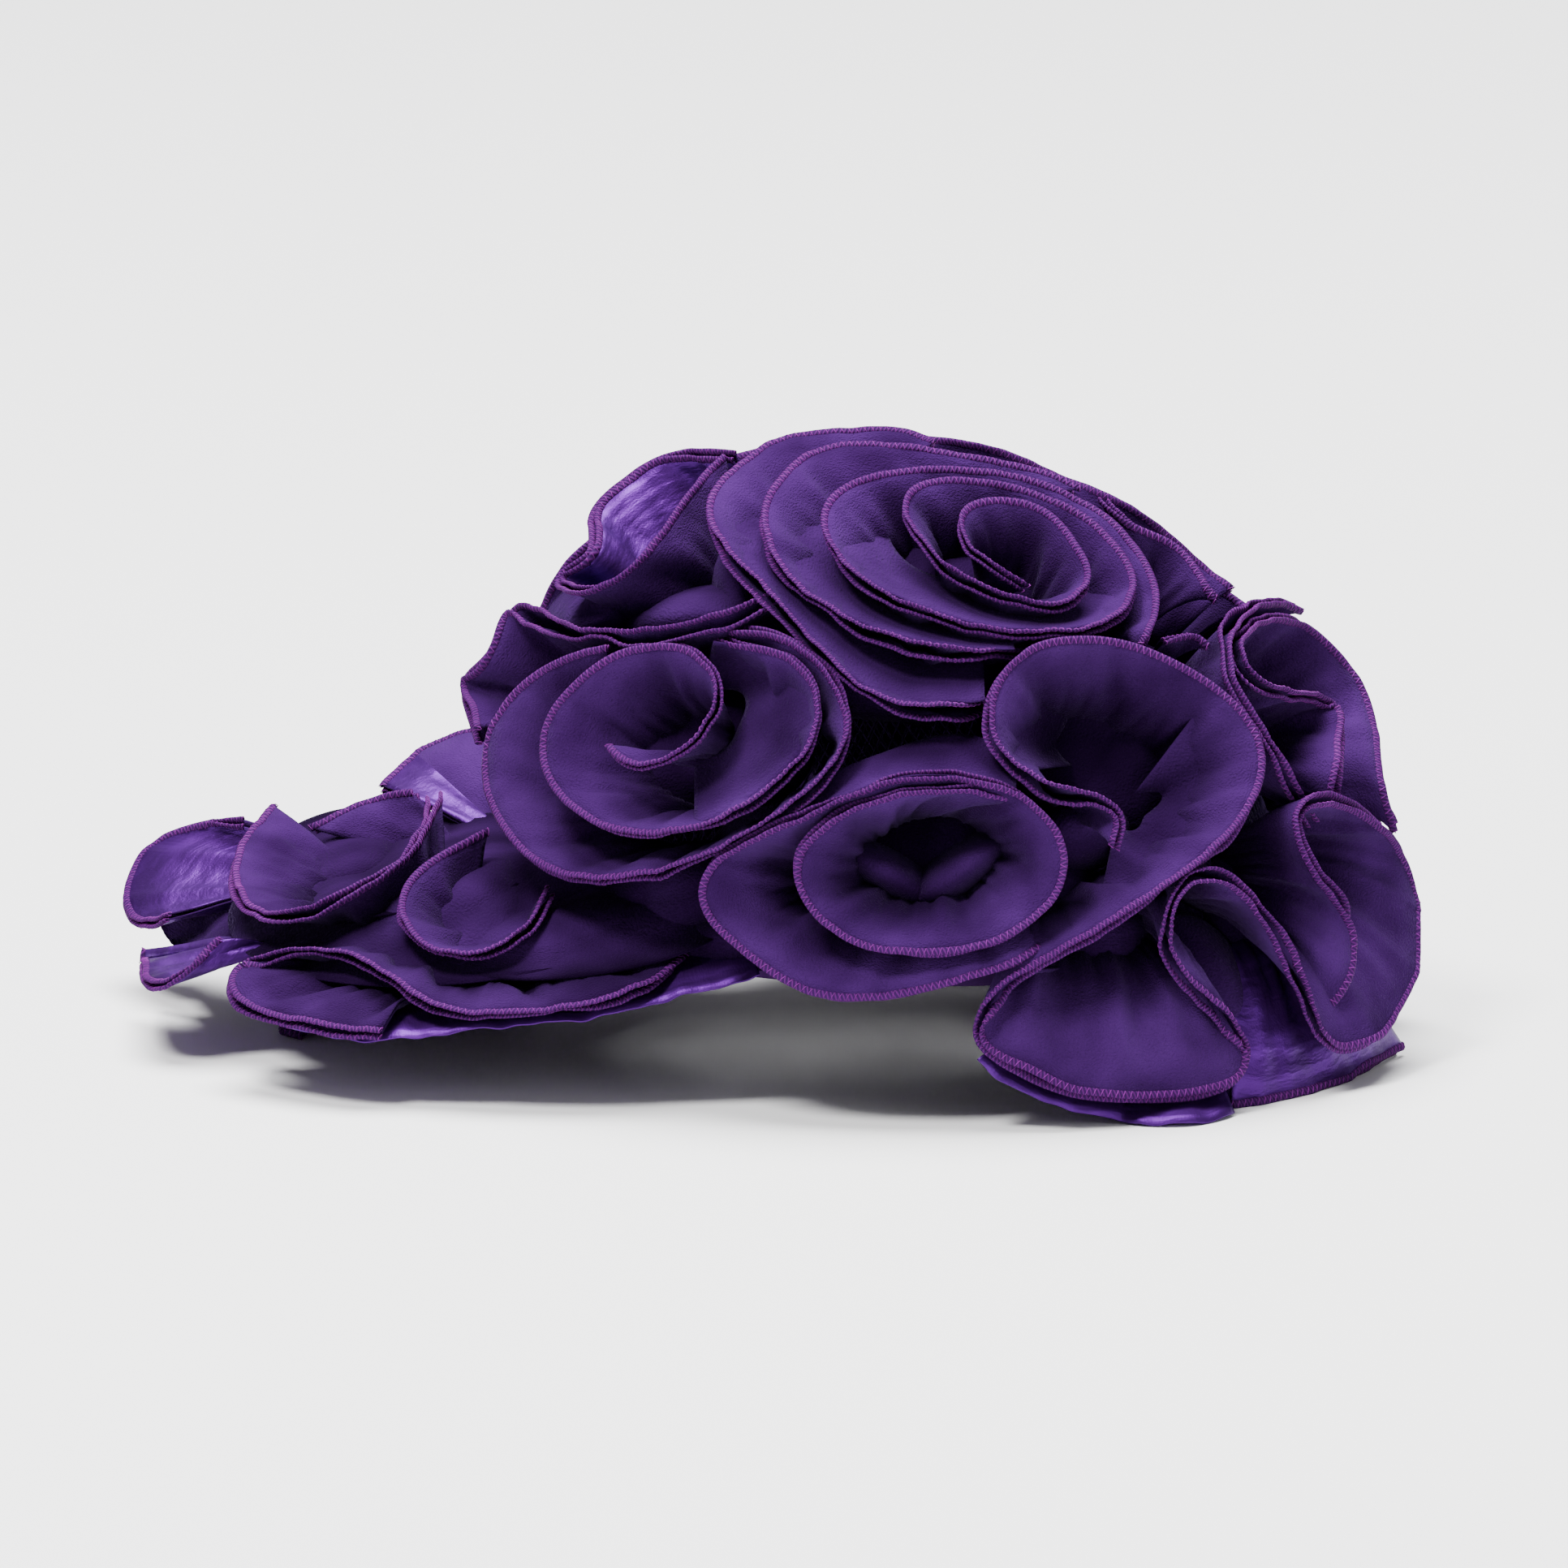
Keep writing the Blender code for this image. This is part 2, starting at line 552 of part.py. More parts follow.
def crown_point(turn, rise, inset):
    """A point of the crown's surface moved inwards, by compass angle and rise angle."""
    x = (CROWN_HALF_LENGTH - inset) * math.cos(rise) * math.cos(turn)
    y = (CROWN_HALF_WIDTH - inset) * math.cos(rise) * math.sin(turn)
    up = (CROWN_RISE - inset) * math.sin(rise)
    return (x + CROWN_LEAN * up, y, RIM_HEIGHT + up)


def add_crown(material):
    """The net crown: a hollow half egg, with a thicker band along its open rim."""
    band_rise = math.asin(RIM_BAND_HEIGHT / CROWN_RISE)
    rises = [0.0, band_rise]
    step = (math.pi / 2 - band_rise) / (CROWN_ROWS - 2)
    rises += [band_rise + step * k for k in range(1, CROWN_ROWS - 2)]
    turns = [2 * math.pi * k / CROWN_COLUMNS for k in range(CROWN_COLUMNS)]
    outer = [[crown_point(turn, rise, 0.0) for turn in turns] for rise in rises]
    insets = [RIM_BAND_WALL, RIM_BAND_WALL] + [NET_WALL] * (len(rises) - 2)
    inner = [[crown_point(turn, rise, inset) for turn in turns]
             for rise, inset in zip(rises, insets)]
    points = [p for ring in outer + inner for p in ring]
    top_outer = len(points)
    points.append(crown_point(0.0, math.pi / 2, 0.0))
    points.append(crown_point(0.0, math.pi / 2, NET_WALL))
    count = CROWN_COLUMNS
    rings = len(rises)
    faces = []
    for k in range(count):
        nxt = (k + 1) % count
        for r in range(rings - 1):
            a = r * count
            b = (r + 1) * count
            faces.append((a + k, a + nxt, b + nxt, b + k))
            c = (rings + r) * count
            d = (rings + r + 1) * count
            faces.append((c + k, d + k, d + nxt, c + nxt))
        last = (rings - 1) * count
        faces.append((last + k, last + nxt, top_outer))
        last = (2 * rings - 1) * count
        faces.append((last + nxt, last + k, top_outer + 1))
        faces.append((k, rings * count + k, rings * count + nxt, nxt))
    return add_solid("crown_net", points, faces, material)


def add_peak(material):
    """The peak: a crescent plate that slopes forwards and is arched from side to side."""
    crown_length = CROWN_HALF_LENGTH + PEAK_GAP
    crown_width = CROWN_HALF_WIDTH + PEAK_GAP
    corner = None
    for k in range(900, 0, -1):
        y = crown_width * k / 900.0
        root = -crown_length * math.sqrt(max(1 - (y / crown_width) ** 2, 0.0))
        if abs(y) >= PEAK_HALF_WIDTH:
            continue
        if root - peak_edge_x(y) > 3.0:
            corner = y
            break
    grid = []
    for i in range(PEAK_COLUMNS + 1):
        swing = math.sin(math.pi / 2 * (2 * i / PEAK_COLUMNS - 1))
        y = corner * swing
        edge = peak_edge_x(y)
        flat_root = -crown_length * math.sqrt(1 - (y / crown_width) ** 2)
        up = peak_middle(flat_root, y) - RIM_HEIGHT
        root = flat_root * math.sqrt(1 - (up / CROWN_RISE) ** 2) + CROWN_LEAN * up
        row = []
        for j in range(PEAK_ROWS):
            share = j / (PEAK_ROWS - 1)
            x = root + (edge - root) * share
            row.append((x, y, peak_middle(x, y)))
        grid.append(row)
    grid = np.array(grid)
    half = np.array((0.0, 0.0, PEAK_THICKNESS * 0.5))
    sections, rows = grid.shape[:2]
    points = np.concatenate([(grid + half).reshape(-1, 3), (grid - half).reshape(-1, 3)])
    base = sections * rows
    faces = []
    for i in range(sections - 1):
        for j in range(rows - 1):
            a = i * rows + j
            faces.append((a, a + 1, a + rows + 1, a + rows))
            faces.append((base + a, base + a + rows, base + a + rows + 1, base + a + 1))
        for j in (0, rows - 1):
            a = i * rows + j
            faces.append((a, a + rows, base + a + rows, base + a))
    for j in range(rows - 1):
        for i in (0, sections - 1):
            a = i * rows + j
            faces.append((a, a + 1, base + a + 1, base + a))
    return add_solid("peak", points, faces, material)


def make_material(name, colour, roughness):
    """A plain coloured material."""
    material = bpy.data.materials.new(name)
    material.use_nodes = True
    surface = material.node_tree.nodes["Principled BSDF"]
    surface.inputs["Base Color"].default_value = (*colour, 1.0)
    surface.inputs["Roughness"].default_value = roughness
    return material


def clear_scene():
    for thing in list(bpy.data.objects):
        bpy.data.objects.remove(thing, do_unlink=True)


def put_on_floor(solids):
    """Moves the solids so that their common box stands on the floor around the origin."""
    points = np.array([vertex.co for solid in solids for vertex in solid.data.vertices])
    low = points.min(axis=0)
    middle = (low + points.max(axis=0)) * 0.5
    shift = Matrix.Translation((-middle[0], -middle[1], -low[2]))
    for solid in solids:
        solid.data.transform(shift)


def main():
    clear_scene()
    net = make_material("net", (0.05, 0.02, 0.09), 0.8)
    crepe = make_material("crepe", (0.075, 0.03, 0.16), 0.65)
    solids = [add_crown(net), add_peak(crepe)]
    for name, ruffle in LEFT_RUFFLES.items():
        straight = SEWN_ON[ruffle[1]][2] * SEWN_ON[ruffle[1]][3] * ruffle[2]
        solids.append(add_ruffle(name, ruffle_lines(*ruffle), straight, SECTION_LENGTH, crepe))
        if name in RIGHT_RUFFLES:
            lines = ruffle_lines(*ruffle, shrink=RIGHT_RUFFLES[name])
            solids.append(
                add_ruffle(name + "_right", lines, straight, RIGHT_SECTION_LENGTH, crepe))
    for name, ridge in RIDGES.items():
        straight = CROWN_STAND * CROWN_RISE_SHARE
        solids.append(add_ruffle(name, ridge_lines(*ridge), straight, SECTION_LENGTH, crepe))
    straight = UNDER_STAND * PEAK_RISE_SHARE
    solids.append(add_ruffle("peak_under", under_lines(), straight, SECTION_LENGTH, crepe))
    put_on_floor(solids)
    return solids


if __name__ == "__main__":
    main()
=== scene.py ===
"""Rosette cap: a net crown and a stiff peak under standing ruffles of satin-back crepe.

Every ruffle is two layers of cloth that are sewn down together and part towards their hems. The
hems are drawn on a board that faces the wearer's left side and is tipped back by BOARD_TILT, and
are carried back to the bulging surface that the free edges share. Lengths in the tables are in
millimetres. The peak points to -X.
"""

import math

import bmesh
import bpy
import numpy as np
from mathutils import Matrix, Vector


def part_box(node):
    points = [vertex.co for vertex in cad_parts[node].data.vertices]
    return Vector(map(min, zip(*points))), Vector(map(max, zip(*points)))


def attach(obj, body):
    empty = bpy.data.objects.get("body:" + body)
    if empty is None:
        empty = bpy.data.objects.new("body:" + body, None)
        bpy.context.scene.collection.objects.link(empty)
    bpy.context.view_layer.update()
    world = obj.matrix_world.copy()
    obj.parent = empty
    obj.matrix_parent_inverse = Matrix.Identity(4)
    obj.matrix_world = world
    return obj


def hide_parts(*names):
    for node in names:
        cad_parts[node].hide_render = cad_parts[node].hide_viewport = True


bl_info = {
    "name": "Rosette cap",
    "version": (1, 0, 0),
    "blender": (4, 5, 0),
    "location": "3D View > Sidebar > Rosette cap",
    "description": "Dresses the cap in its ruffles, net, peak cover and stitching",
    "category": "Add Mesh",
}

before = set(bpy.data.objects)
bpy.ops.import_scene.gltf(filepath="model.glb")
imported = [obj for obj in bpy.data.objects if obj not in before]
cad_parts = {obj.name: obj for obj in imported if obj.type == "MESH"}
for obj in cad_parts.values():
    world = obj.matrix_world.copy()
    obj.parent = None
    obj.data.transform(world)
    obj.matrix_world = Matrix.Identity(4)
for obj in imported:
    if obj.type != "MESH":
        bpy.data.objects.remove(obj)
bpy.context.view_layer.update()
MM = 0.001

# The solid model's driving sizes (mm), which the cloth follows
BOARD_TILT = 12.0
TRACE_STEP = 1.0
CROWN_HALF_LENGTH = 95.0
CROWN_HALF_WIDTH = 78.0
CROWN_RISE = 100.0
CROWN_LEAN = -0.15
RIM_HEIGHT = 32.0
PEAK_CENTRE_X = -85.0
PEAK_HALF_LENGTH = 88.0
PEAK_HALF_WIDTH = 72.0
PEAK_SQUARENESS = 2.5
PEAK_THICKNESS = 3.0
PEAK_ROOT_HEIGHT = 44.0
PEAK_SLOPE = 0.20
PEAK_ARCH = 0.0033
PEAK_GAP = 0.6
CROWN_STAND = 30.0
PEAK_STAND = 25.0
SEAM_GAP = 0.6
PEAK_EDGE_GAP = 3.4
PEAK_FACE_GAP = 1.2
SEAM_ABOVE_RIM = 5.0
HANG_SOFTNESS = 14.0
SEWN_SHARE = 0.88
OUTLINE_EASE = 32.0
RIGHT_SCALE_BASE = 31.0
HEM_SOFTNESS = 3.2
UNDER_RING = 0.66
UNDER_WAVE = 0.05
UNDER_WAVES = 3.0
UNDER_FROM = 2.0
UNDER_TO = 70.0
UNDER_STAND = 37.0

# How a hem is traced: how far a curve's handles reach, as a share of a straight chord and of the
# way to where the two headings meet, how far off that may be, and the least turn for it
STRAIGHT_REACH = 0.36
TURN_REACH = 0.55
FARTHEST_MEET = 1.6
LEAST_TURN = 0.12

# Between which distances (mm) a look through the board finds the surface, how often the last
# stretch is halved, and how soon a seam that runs around the peak's edge reaches its faces
LOOK_RANGE = (-150.0, 120.0)
LOOK_HALVINGS = 30
PEAK_ROUNDING = 0.25

# How finely the cloth, its hems and the thread are made, and the share of a seam's length that
# counts when a ruffle is cut into sections
RIDGE_POINTS = 300
UNDER_POINTS = 120
SEAM_MEASURE = 0.3
HEM_SIDES = 6
THREAD_SIDES = 3
BUNCH_GRID = (32, 21)
SLOPE_ROWS = 13

# How far the cloth and its hems stay above the floor (mm), and how far a hem's middle lies inside
# the cloth's edge (share of its width)
CLOTH_ABOVE_FLOOR = 0.25
HEM_ABOVE_FLOOR = 0.05
HEM_INSET = 0.35

# The lengths (mm) of the waves in a ruffle: its soft folds and how far they slant on the way up,
# its gathers, its curl, how far its hems part and how far the second hem drops
FOLD_LENGTH = 27
FOLD_SLANT = 14
GATHER_LENGTH = 8.5
CURL_LENGTH = 17
PART_LENGTH = 70
DROP_LENGTH = 45

# The folds of a bunch: their spacing and how much it differs, and how far and over what length
# they bow (mm)
BUNCH_SPACING = 25.0
BUNCH_SPREAD = 6.0
BUNCH_BOW = 5.0
BUNCH_BOW_LENGTH = 13.0

# The net: the heights where it starts and how far it goes (degrees of rise), its rings for each
# thread around it, and how far it lies inside the crown's surface (mm)
NET_START = 3.0
NET_REACH = 85.0
NET_RINGS = 0.27
NET_INSET = 0.6

# The bound rim: its sections, and their corners and half sizes (mm)
BAND_SECTIONS = 150
BAND_SIDES = 14
BAND_HALF_WIDTH = 1.5
BAND_HALF_HEIGHT = 3.4

# The peak's cover: its grid, how finely its widest place is looked for, how long it has to be
# there (mm), and from where and how fast its edge is rounded
PEAK_SECTIONS = 91
PEAK_ROWS = 22
PEAK_TRIES = 900
PEAK_LEAST_LENGTH = 3.0
PEAK_EDGE_FROM = 0.93
PEAK_EDGE_RATE = 14.0

# How dark the crepe's painted shade is at its seam, how pale the satin's painted broken
# highlights are, how dark the hollows of a thread are, and the scale at which the wave texture
# has one wave a metre
SEAM_SHADE = 0.20
SATIN_PAINTED_HIGHLIGHT = 1.6
THREAD_DARK = 0.6
WAVE_SCALE = 0.31416

# Which waves the folds of the right side, the ridges, the ruffle under the peak and the strips
# have, and how far the two hems of the ridges and of the ruffle under the peak part (mm)
RIGHT_RUFFLE_SEED = 11
RIGHT_FOLD_SEED = 21
RIDGE_SEED = 31
UNDER_SEED = 41
STRIP_SEED = 51
RIDGE_PART = 2.5
UNDER_PART = 2.0

# The stage: half size of the floor (m) and its paler patches, the light from all around, the
# point that the lights face, and for each light its place and size (m), power (W) and colour
FLOOR_HALF = 9.0
FLOOR_PALE = 1.02
SKY_STRENGTH = 0.3
LIGHT_TARGET = (0.0, 0.0, 0.07)
LIGHTS = {
    "top": ((0.0, 0.6, 3.4), 2.6, 470.0, (1.0, 1.0, 1.0)),
    "key": ((-0.8, -1.0, 2.2), 0.7, 95.0, (1.0, 0.99, 0.98)),
    "fill": ((1.5, -1.4, 0.8), 1.0, 8.0, (0.95, 0.96, 1.0)),
}

# The camera: its sensor (mm), how much nearer than the cap's middle the plane is that the
# picture's width is measured in, that width, and where its axis meets the cap's middle (m)
CAMERA_SENSOR = 36.0
CAMERA_NEAR = 0.07
CAMERA_WIDTH = 0.40674
CAMERA_X = 0.0045
CAMERA_HEIGHT = 0.0691

# Each fold table has one row per turn of the hem: x and height on the board (mm) and the
# heading of the hem there (degrees, 0 to the back of the cap, 90 upwards)
TOP_HEART = (
    (23, 119.5, 150), (10, 127, 138), (4, 137, 95), (16, 142.3, 0), (33, 133.8, -58),
    (39.5, 124, -90), (31, 114.5, 180), (12, 119, 158), (-3, 129, 128), (-10.5, 141, 90),
    (2, 147.5, 0), (28, 142.6, -22), (44, 132.2, -52), (51, 120, -90), (42, 109.5, 200),
    (22, 107.5, 180), (-8, 114.5, 158), (-26, 126, 130), (-31.5, 137, 90), (-17, 148.5, 12),
    (8, 150, -5), (30, 145.2, -25), (48, 133.5, -50), (57, 115, -88), (54.5, 108, -112),
    (49, 98, -120),
)
TOP_MIDDLE = (
    (24, 102.2, 178), (14, 102.5, 180), (-8, 105, 168), (-30, 114, 148), (-43, 126, 118),
    (-46.8, 138, 90), (-39, 151, 48), (-20, 157, 0), (8, 153.5, -10), (30, 148.3, -20),
    (37, 145.2, -30),
)
TOP_OUTER = (
    (17, 90.5, 192), (6, 88.3, 180), (-8, 88, 170), (-23, 94.5, 138), (-44, 117, 130),
    (-57, 130.5, 126), (-61.3, 139.5, 90), (-50, 153.5, 42), (-32, 160, 0), (-14, 161, -5),
    (-1, 157.5, -32),
)
FRONT_HEART = (
    (-87, 78, -100), (-78, 72.7, 5), (-64, 80, 52), (-58, 91.5, 90), (-70, 104.3, 180),
    (-91, 98, 220), (-104.5, 77, 270), (-78, 54.8, 0), (-46, 66, 40), (-31.5, 86.5, 90),
    (-45, 103, 176), (-56, 104.6, 174), (-64, 106, 176),
)
FRONT_OUTER = (
    (-87, 103.8, 192), (-100, 100, 206), (-113, 90, 230), (-119.6, 73, 270), (-110, 51, -48),
    (-90, 43.2, 0), (-65, 48, 20), (-47, 57.5, 34), (-34, 67, 50), (-24, 82, 88),
    (-31, 98.5, 128), (-50, 107.6, 178), (-62, 107.2, 186),
)
BROW = (
    (-40, 119, 205), (-48, 116, 205), (-64, 110.4, 196), (-82, 108, 180), (-99, 110, 150),
    (-109, 116, 190), (-116, 106, 245), (-121, 98.5, 215), (-125.5, 95, 262), (-123.5, 86, -75),
    (-121, 78, -75),
)
FOREHEAD = (
    (-54, 154.6, 172), (-66, 155, 186), (-84, 146.5, 222), (-92.5, 136, 270), (-90.5, 130, -72),
    (-97, 125, 208), (-101.8, 119.8, 262), (-95, 117.6, 0), (-82.5, 122.8, 36),
    (-71.5, 135.5, 55), (-62.5, 148, 52), (-56.5, 153.8, 38),
)
LOW_HEART = (
    (20, 63.4, 162), (-3, 66.2, 181), (-27, 59.3, 209), (-38.4, 45, 270), (-29, 30, -40),
    (-4, 23.8, 0), (22, 31, 35), (32.6, 47, 90), (25, 62, 140), (-5, 69.7, 180), (-30, 62, 207),
    (-52, 52, 209), (-63.2, 40, 270), (-50, 22.8, -40), (-24, 11.8, 0), (10, 18.2, 16),
    (24, 24, 32), (33, 30.5, 38),
)
SIDE_LOOP = (
    (45.8, 50.5, 78), (48, 58, 95), (38, 65.8, 174), (21.5, 71, 150), (12, 86, 90),
    (20, 101.5, 40), (38, 106, 0), (61, 99.6, -27), (77, 88.5, -46), (84.2, 74, -90),
    (76, 56, 230), (50.5, 36.3, 215), (30, 24, 211), (16.5, 16.5, 215), (8, 4, 268),
    (22, -8.5, -30), (50, -14.5, 0), (73, -12, 22), (80, -3, 90), (71.5, 11, 138),
    (60.5, 22, 112), (59.5, 34, 84), (70, 43.3, 0), (83, 33.5, -58), (93, 12.5, -66),
    (104, -2.5, 0), (118.5, 8, 66), (124.2, 32, 90), (114, 57.5, 132), (98, 66, 180),
    (92.2, 58.5, -88), (100.5, 40, -55), (108.3, 26, -90), (98, 7, 205),
)
BACK_INNER = (
    (103, 60, 84), (104.5, 71, 88), (105.3, 83.5, 94), (100, 91.3, 180), (85, 94, 158),
    (78, 104, 88), (87.5, 111.3, 0), (99.5, 107, -46), (111, 93.5, -64), (115.2, 73, -88),
    (119.2, 55, -72),
)
BACK_OUTER = (
    (98, 58, 120), (91.5, 70, 118), (81, 87, 121), (75, 102, 92), (87, 115.6, 0),
    (95, 113.2, -33),
)
BACK_TOP = (
    (41, 142.2, -45), (49, 135.8, -28), (60, 131.5, -30), (68.5, 122, -62), (72, 115, -58),
)
BACK_FOLD = (
    (58.5, 104.5, 42), (65.5, 107.5, 0), (70, 103.5, -70),
)
TAIL = (
    (74, -17, -25), (83, -20, 0), (97, -15.3, 24), (110, -7.5, 32), (119.5, -2, 25),
)
PEAK_LOOP = (
    (-130.5, 65.5, 250), (-136, 53.5, 243), (-152, 40, 212), (-171, 31.5, 180), (-186.5, 41, 92),
    (-183, 52, 66), (-176.5, 61.5, 55),
)
PEAK_LOOP_FOLD = (
    (-166, 56.6, 10), (-157, 61, 28), (-148.5, 64.3, 18), (-139, 66, 5),
)
PEAK_SMALL = (
    (-118, 56, 207), (-131, 49.5, 214), (-141.3, 36.5, 270), (-126, 23.5, 0), (-108, 31, 50),
    (-102, 41.5, 78),
)
PEAK_EDGE = (
    (-66, 23, 222), (-77, 15.8, 204), (-98, 9.6, 186), (-120, 8.2, 178), (-135, 12, 148),
    (-148, 21, 148), (-163, 25, 180), (-180, 22, 208), (-186.4, 14, 270), (-178, 6.6, -8),
    (-162, 3, -12), (-146, 1.6, 2),
)
PEAK_TIP = (
    (-184, 58.5, 165), (-191, 57.8, 190), (-205, 53.5, 208), (-215.2, 37.5, 270),
    (-210.5, 29.3, -15), (-204, 31.5, 25),
)
PEAK_TIP_LOW = (
    (-209, 24, 255), (-206.5, 13.2, 5), (-189, 27, 42),
)
PEAK_CREST = (
    (-147, 67.5, 55), (-138.5, 76, 44), (-131, 80.2, 26), (-126, 81.8, 16), (-117, 83.4, 8),
)

# Ruffle name: fold table, where it is sewn, how far its free edge stands off (share of the usual
# stand), the length that its gathers even out (mm), how far it sits back (mm), the side of the
# second layer (1 to the right of the hem's heading, -1 to its left), the most that the two hems
# part (mm), and the stretches where the satin side shows: first and last row of the table and
# the side it faces
LEFT_RUFFLES = {
    "rosette_top_heart": (TOP_HEART, "crown", 1.0, 14, 0, -1, 2.2, ()),
    "rosette_top_middle": (TOP_MIDDLE, "crown", 1.0, 22, 0, -1, 3.6, ()),
    "rosette_top_outer": (TOP_OUTER, "crown", 1.0, 22, 0, -1, 4.2, ((7, 10, -1),)),
    "rosette_front_heart": (FRONT_HEART, "crown", 1.0, 22, 0, 1, 2.0, ()),
    "rosette_front_outer": (FRONT_OUTER, "crown", 1.0, 17, 0, 1, 3.0, ()),
    "ruffle_brow": (BROW, "crown", 1.0, 12, 0, -1, 5.0, ()),
    "ruffle_forehead": (FOREHEAD, "crown", 1.0, 4, 0, -1, 2.0, ((0, 10, -1),)),
    "rosette_low": (LOW_HEART, "crown", 1.0, 24, 0, 1, 2.6, ()),
    "rosette_side": (SIDE_LOOP, "crown", 1.0, 20, 0, -1, 4.0, ((25, 29, 1),)),
    "ruffle_back_inner": (BACK_INNER, "crown", 1.0, 6, 0, -1, 3.0, ((6, 10, -1),)),
    "ruffle_back_outer": (BACK_OUTER, "crown", 1.0, 7, 0, -1, 3.0, ()),
    "ruffle_back_top": (BACK_TOP, "crown", 1.0, 12, 4, -1, 2.5, ((0, 4, -1),)),
    "ruffle_back_fold": (BACK_FOLD, "crown", 0.9, 6, 0, -1, 1.0, ()),
    "ruffle_tail": (TAIL, "crown", 0.8, 14, 0, -1, 2.0, ((0, 4, -1), (0, 4, 1))),
    "peak_loop": (PEAK_LOOP, "peak", 1.0, 13, 0, 1, 3.4, ()),
    "peak_loop_fold": (PEAK_LOOP_FOLD, "peak", 0.9, 8, 12, -1, 1.5, ()),
    "peak_small": (PEAK_SMALL, "peak", 1.0, 18, 0, 1, 2.4, ()),
    "peak_edge": (PEAK_EDGE, "peak", 1.0, 5, 0, -1, 3.0, ()),
    "peak_tip": (PEAK_TIP, "peak", 1.0, 12, 15, -1, 1.6, ((0, 5, -1), (0, 5, 1))),
    "peak_tip_low": (PEAK_TIP_LOW, "peak", 1.0, 6, 0, -1, 1.6, ((0, 2, -1), (0, 2, 1))),
    "peak_crest": (PEAK_CREST, "peak", 1.0, 10, 24, -1, 1.6, ((0, 1, -1), (0, 1, 1))),
}

# Ruffles that the right side repeats: length and height there as a share of the left's
RIGHT_SHRINK = (0.88, 0.84)
RIGHT_RUFFLES = {
    **dict.fromkeys((
        "rosette_top_heart", "rosette_top_middle", "rosette_top_outer", "rosette_front_heart",
        "rosette_front_outer", "ruffle_brow", "ruffle_forehead", "rosette_low", "rosette_side",
        "ruffle_back_inner", "ruffle_back_outer"), RIGHT_SHRINK),
    "ruffle_tail": (0.88, 1.0),
    "peak_edge": (0.92, 1.0),
}

# Wavy ruffles over the ridge and down the nape: distance from the middle and height of a wave
# (mm), number of waves, first and last angle (degrees)
RIDGES = {
    "ruffle_ridge": (29.0, 4.0, 5.5, 42.0, 148.0),
    "ruffle_nape": (25.0, 4.0, 2.0, -12.0, 24.0),
}

# How far the start and the end of a ruffle's hem slide under what lies in front of it (mm), over
# the last stretch of the hem
TUCK_LENGTH = 16.0
TUCKS = {
    "rosette_top_heart": (4, 14),
    "rosette_top_middle": (16, 0),
    "rosette_top_outer": (16, 0),
    "rosette_front_heart": (0, 14),
    "rosette_front_outer": (0, 10),
    "rosette_low": (5, 12),
    "rosette_side": (2, 10),
    "ruffle_back_inner": (12, 6),
    "ruffle_brow": (10, 0),
    "ruffle_back_outer": (14, 2),
    "ruffle_back_top": (0, 6),
    "peak_loop": (4, 4),
    "peak_small": (6, 6),
    "peak_edge": (14, 2),
}

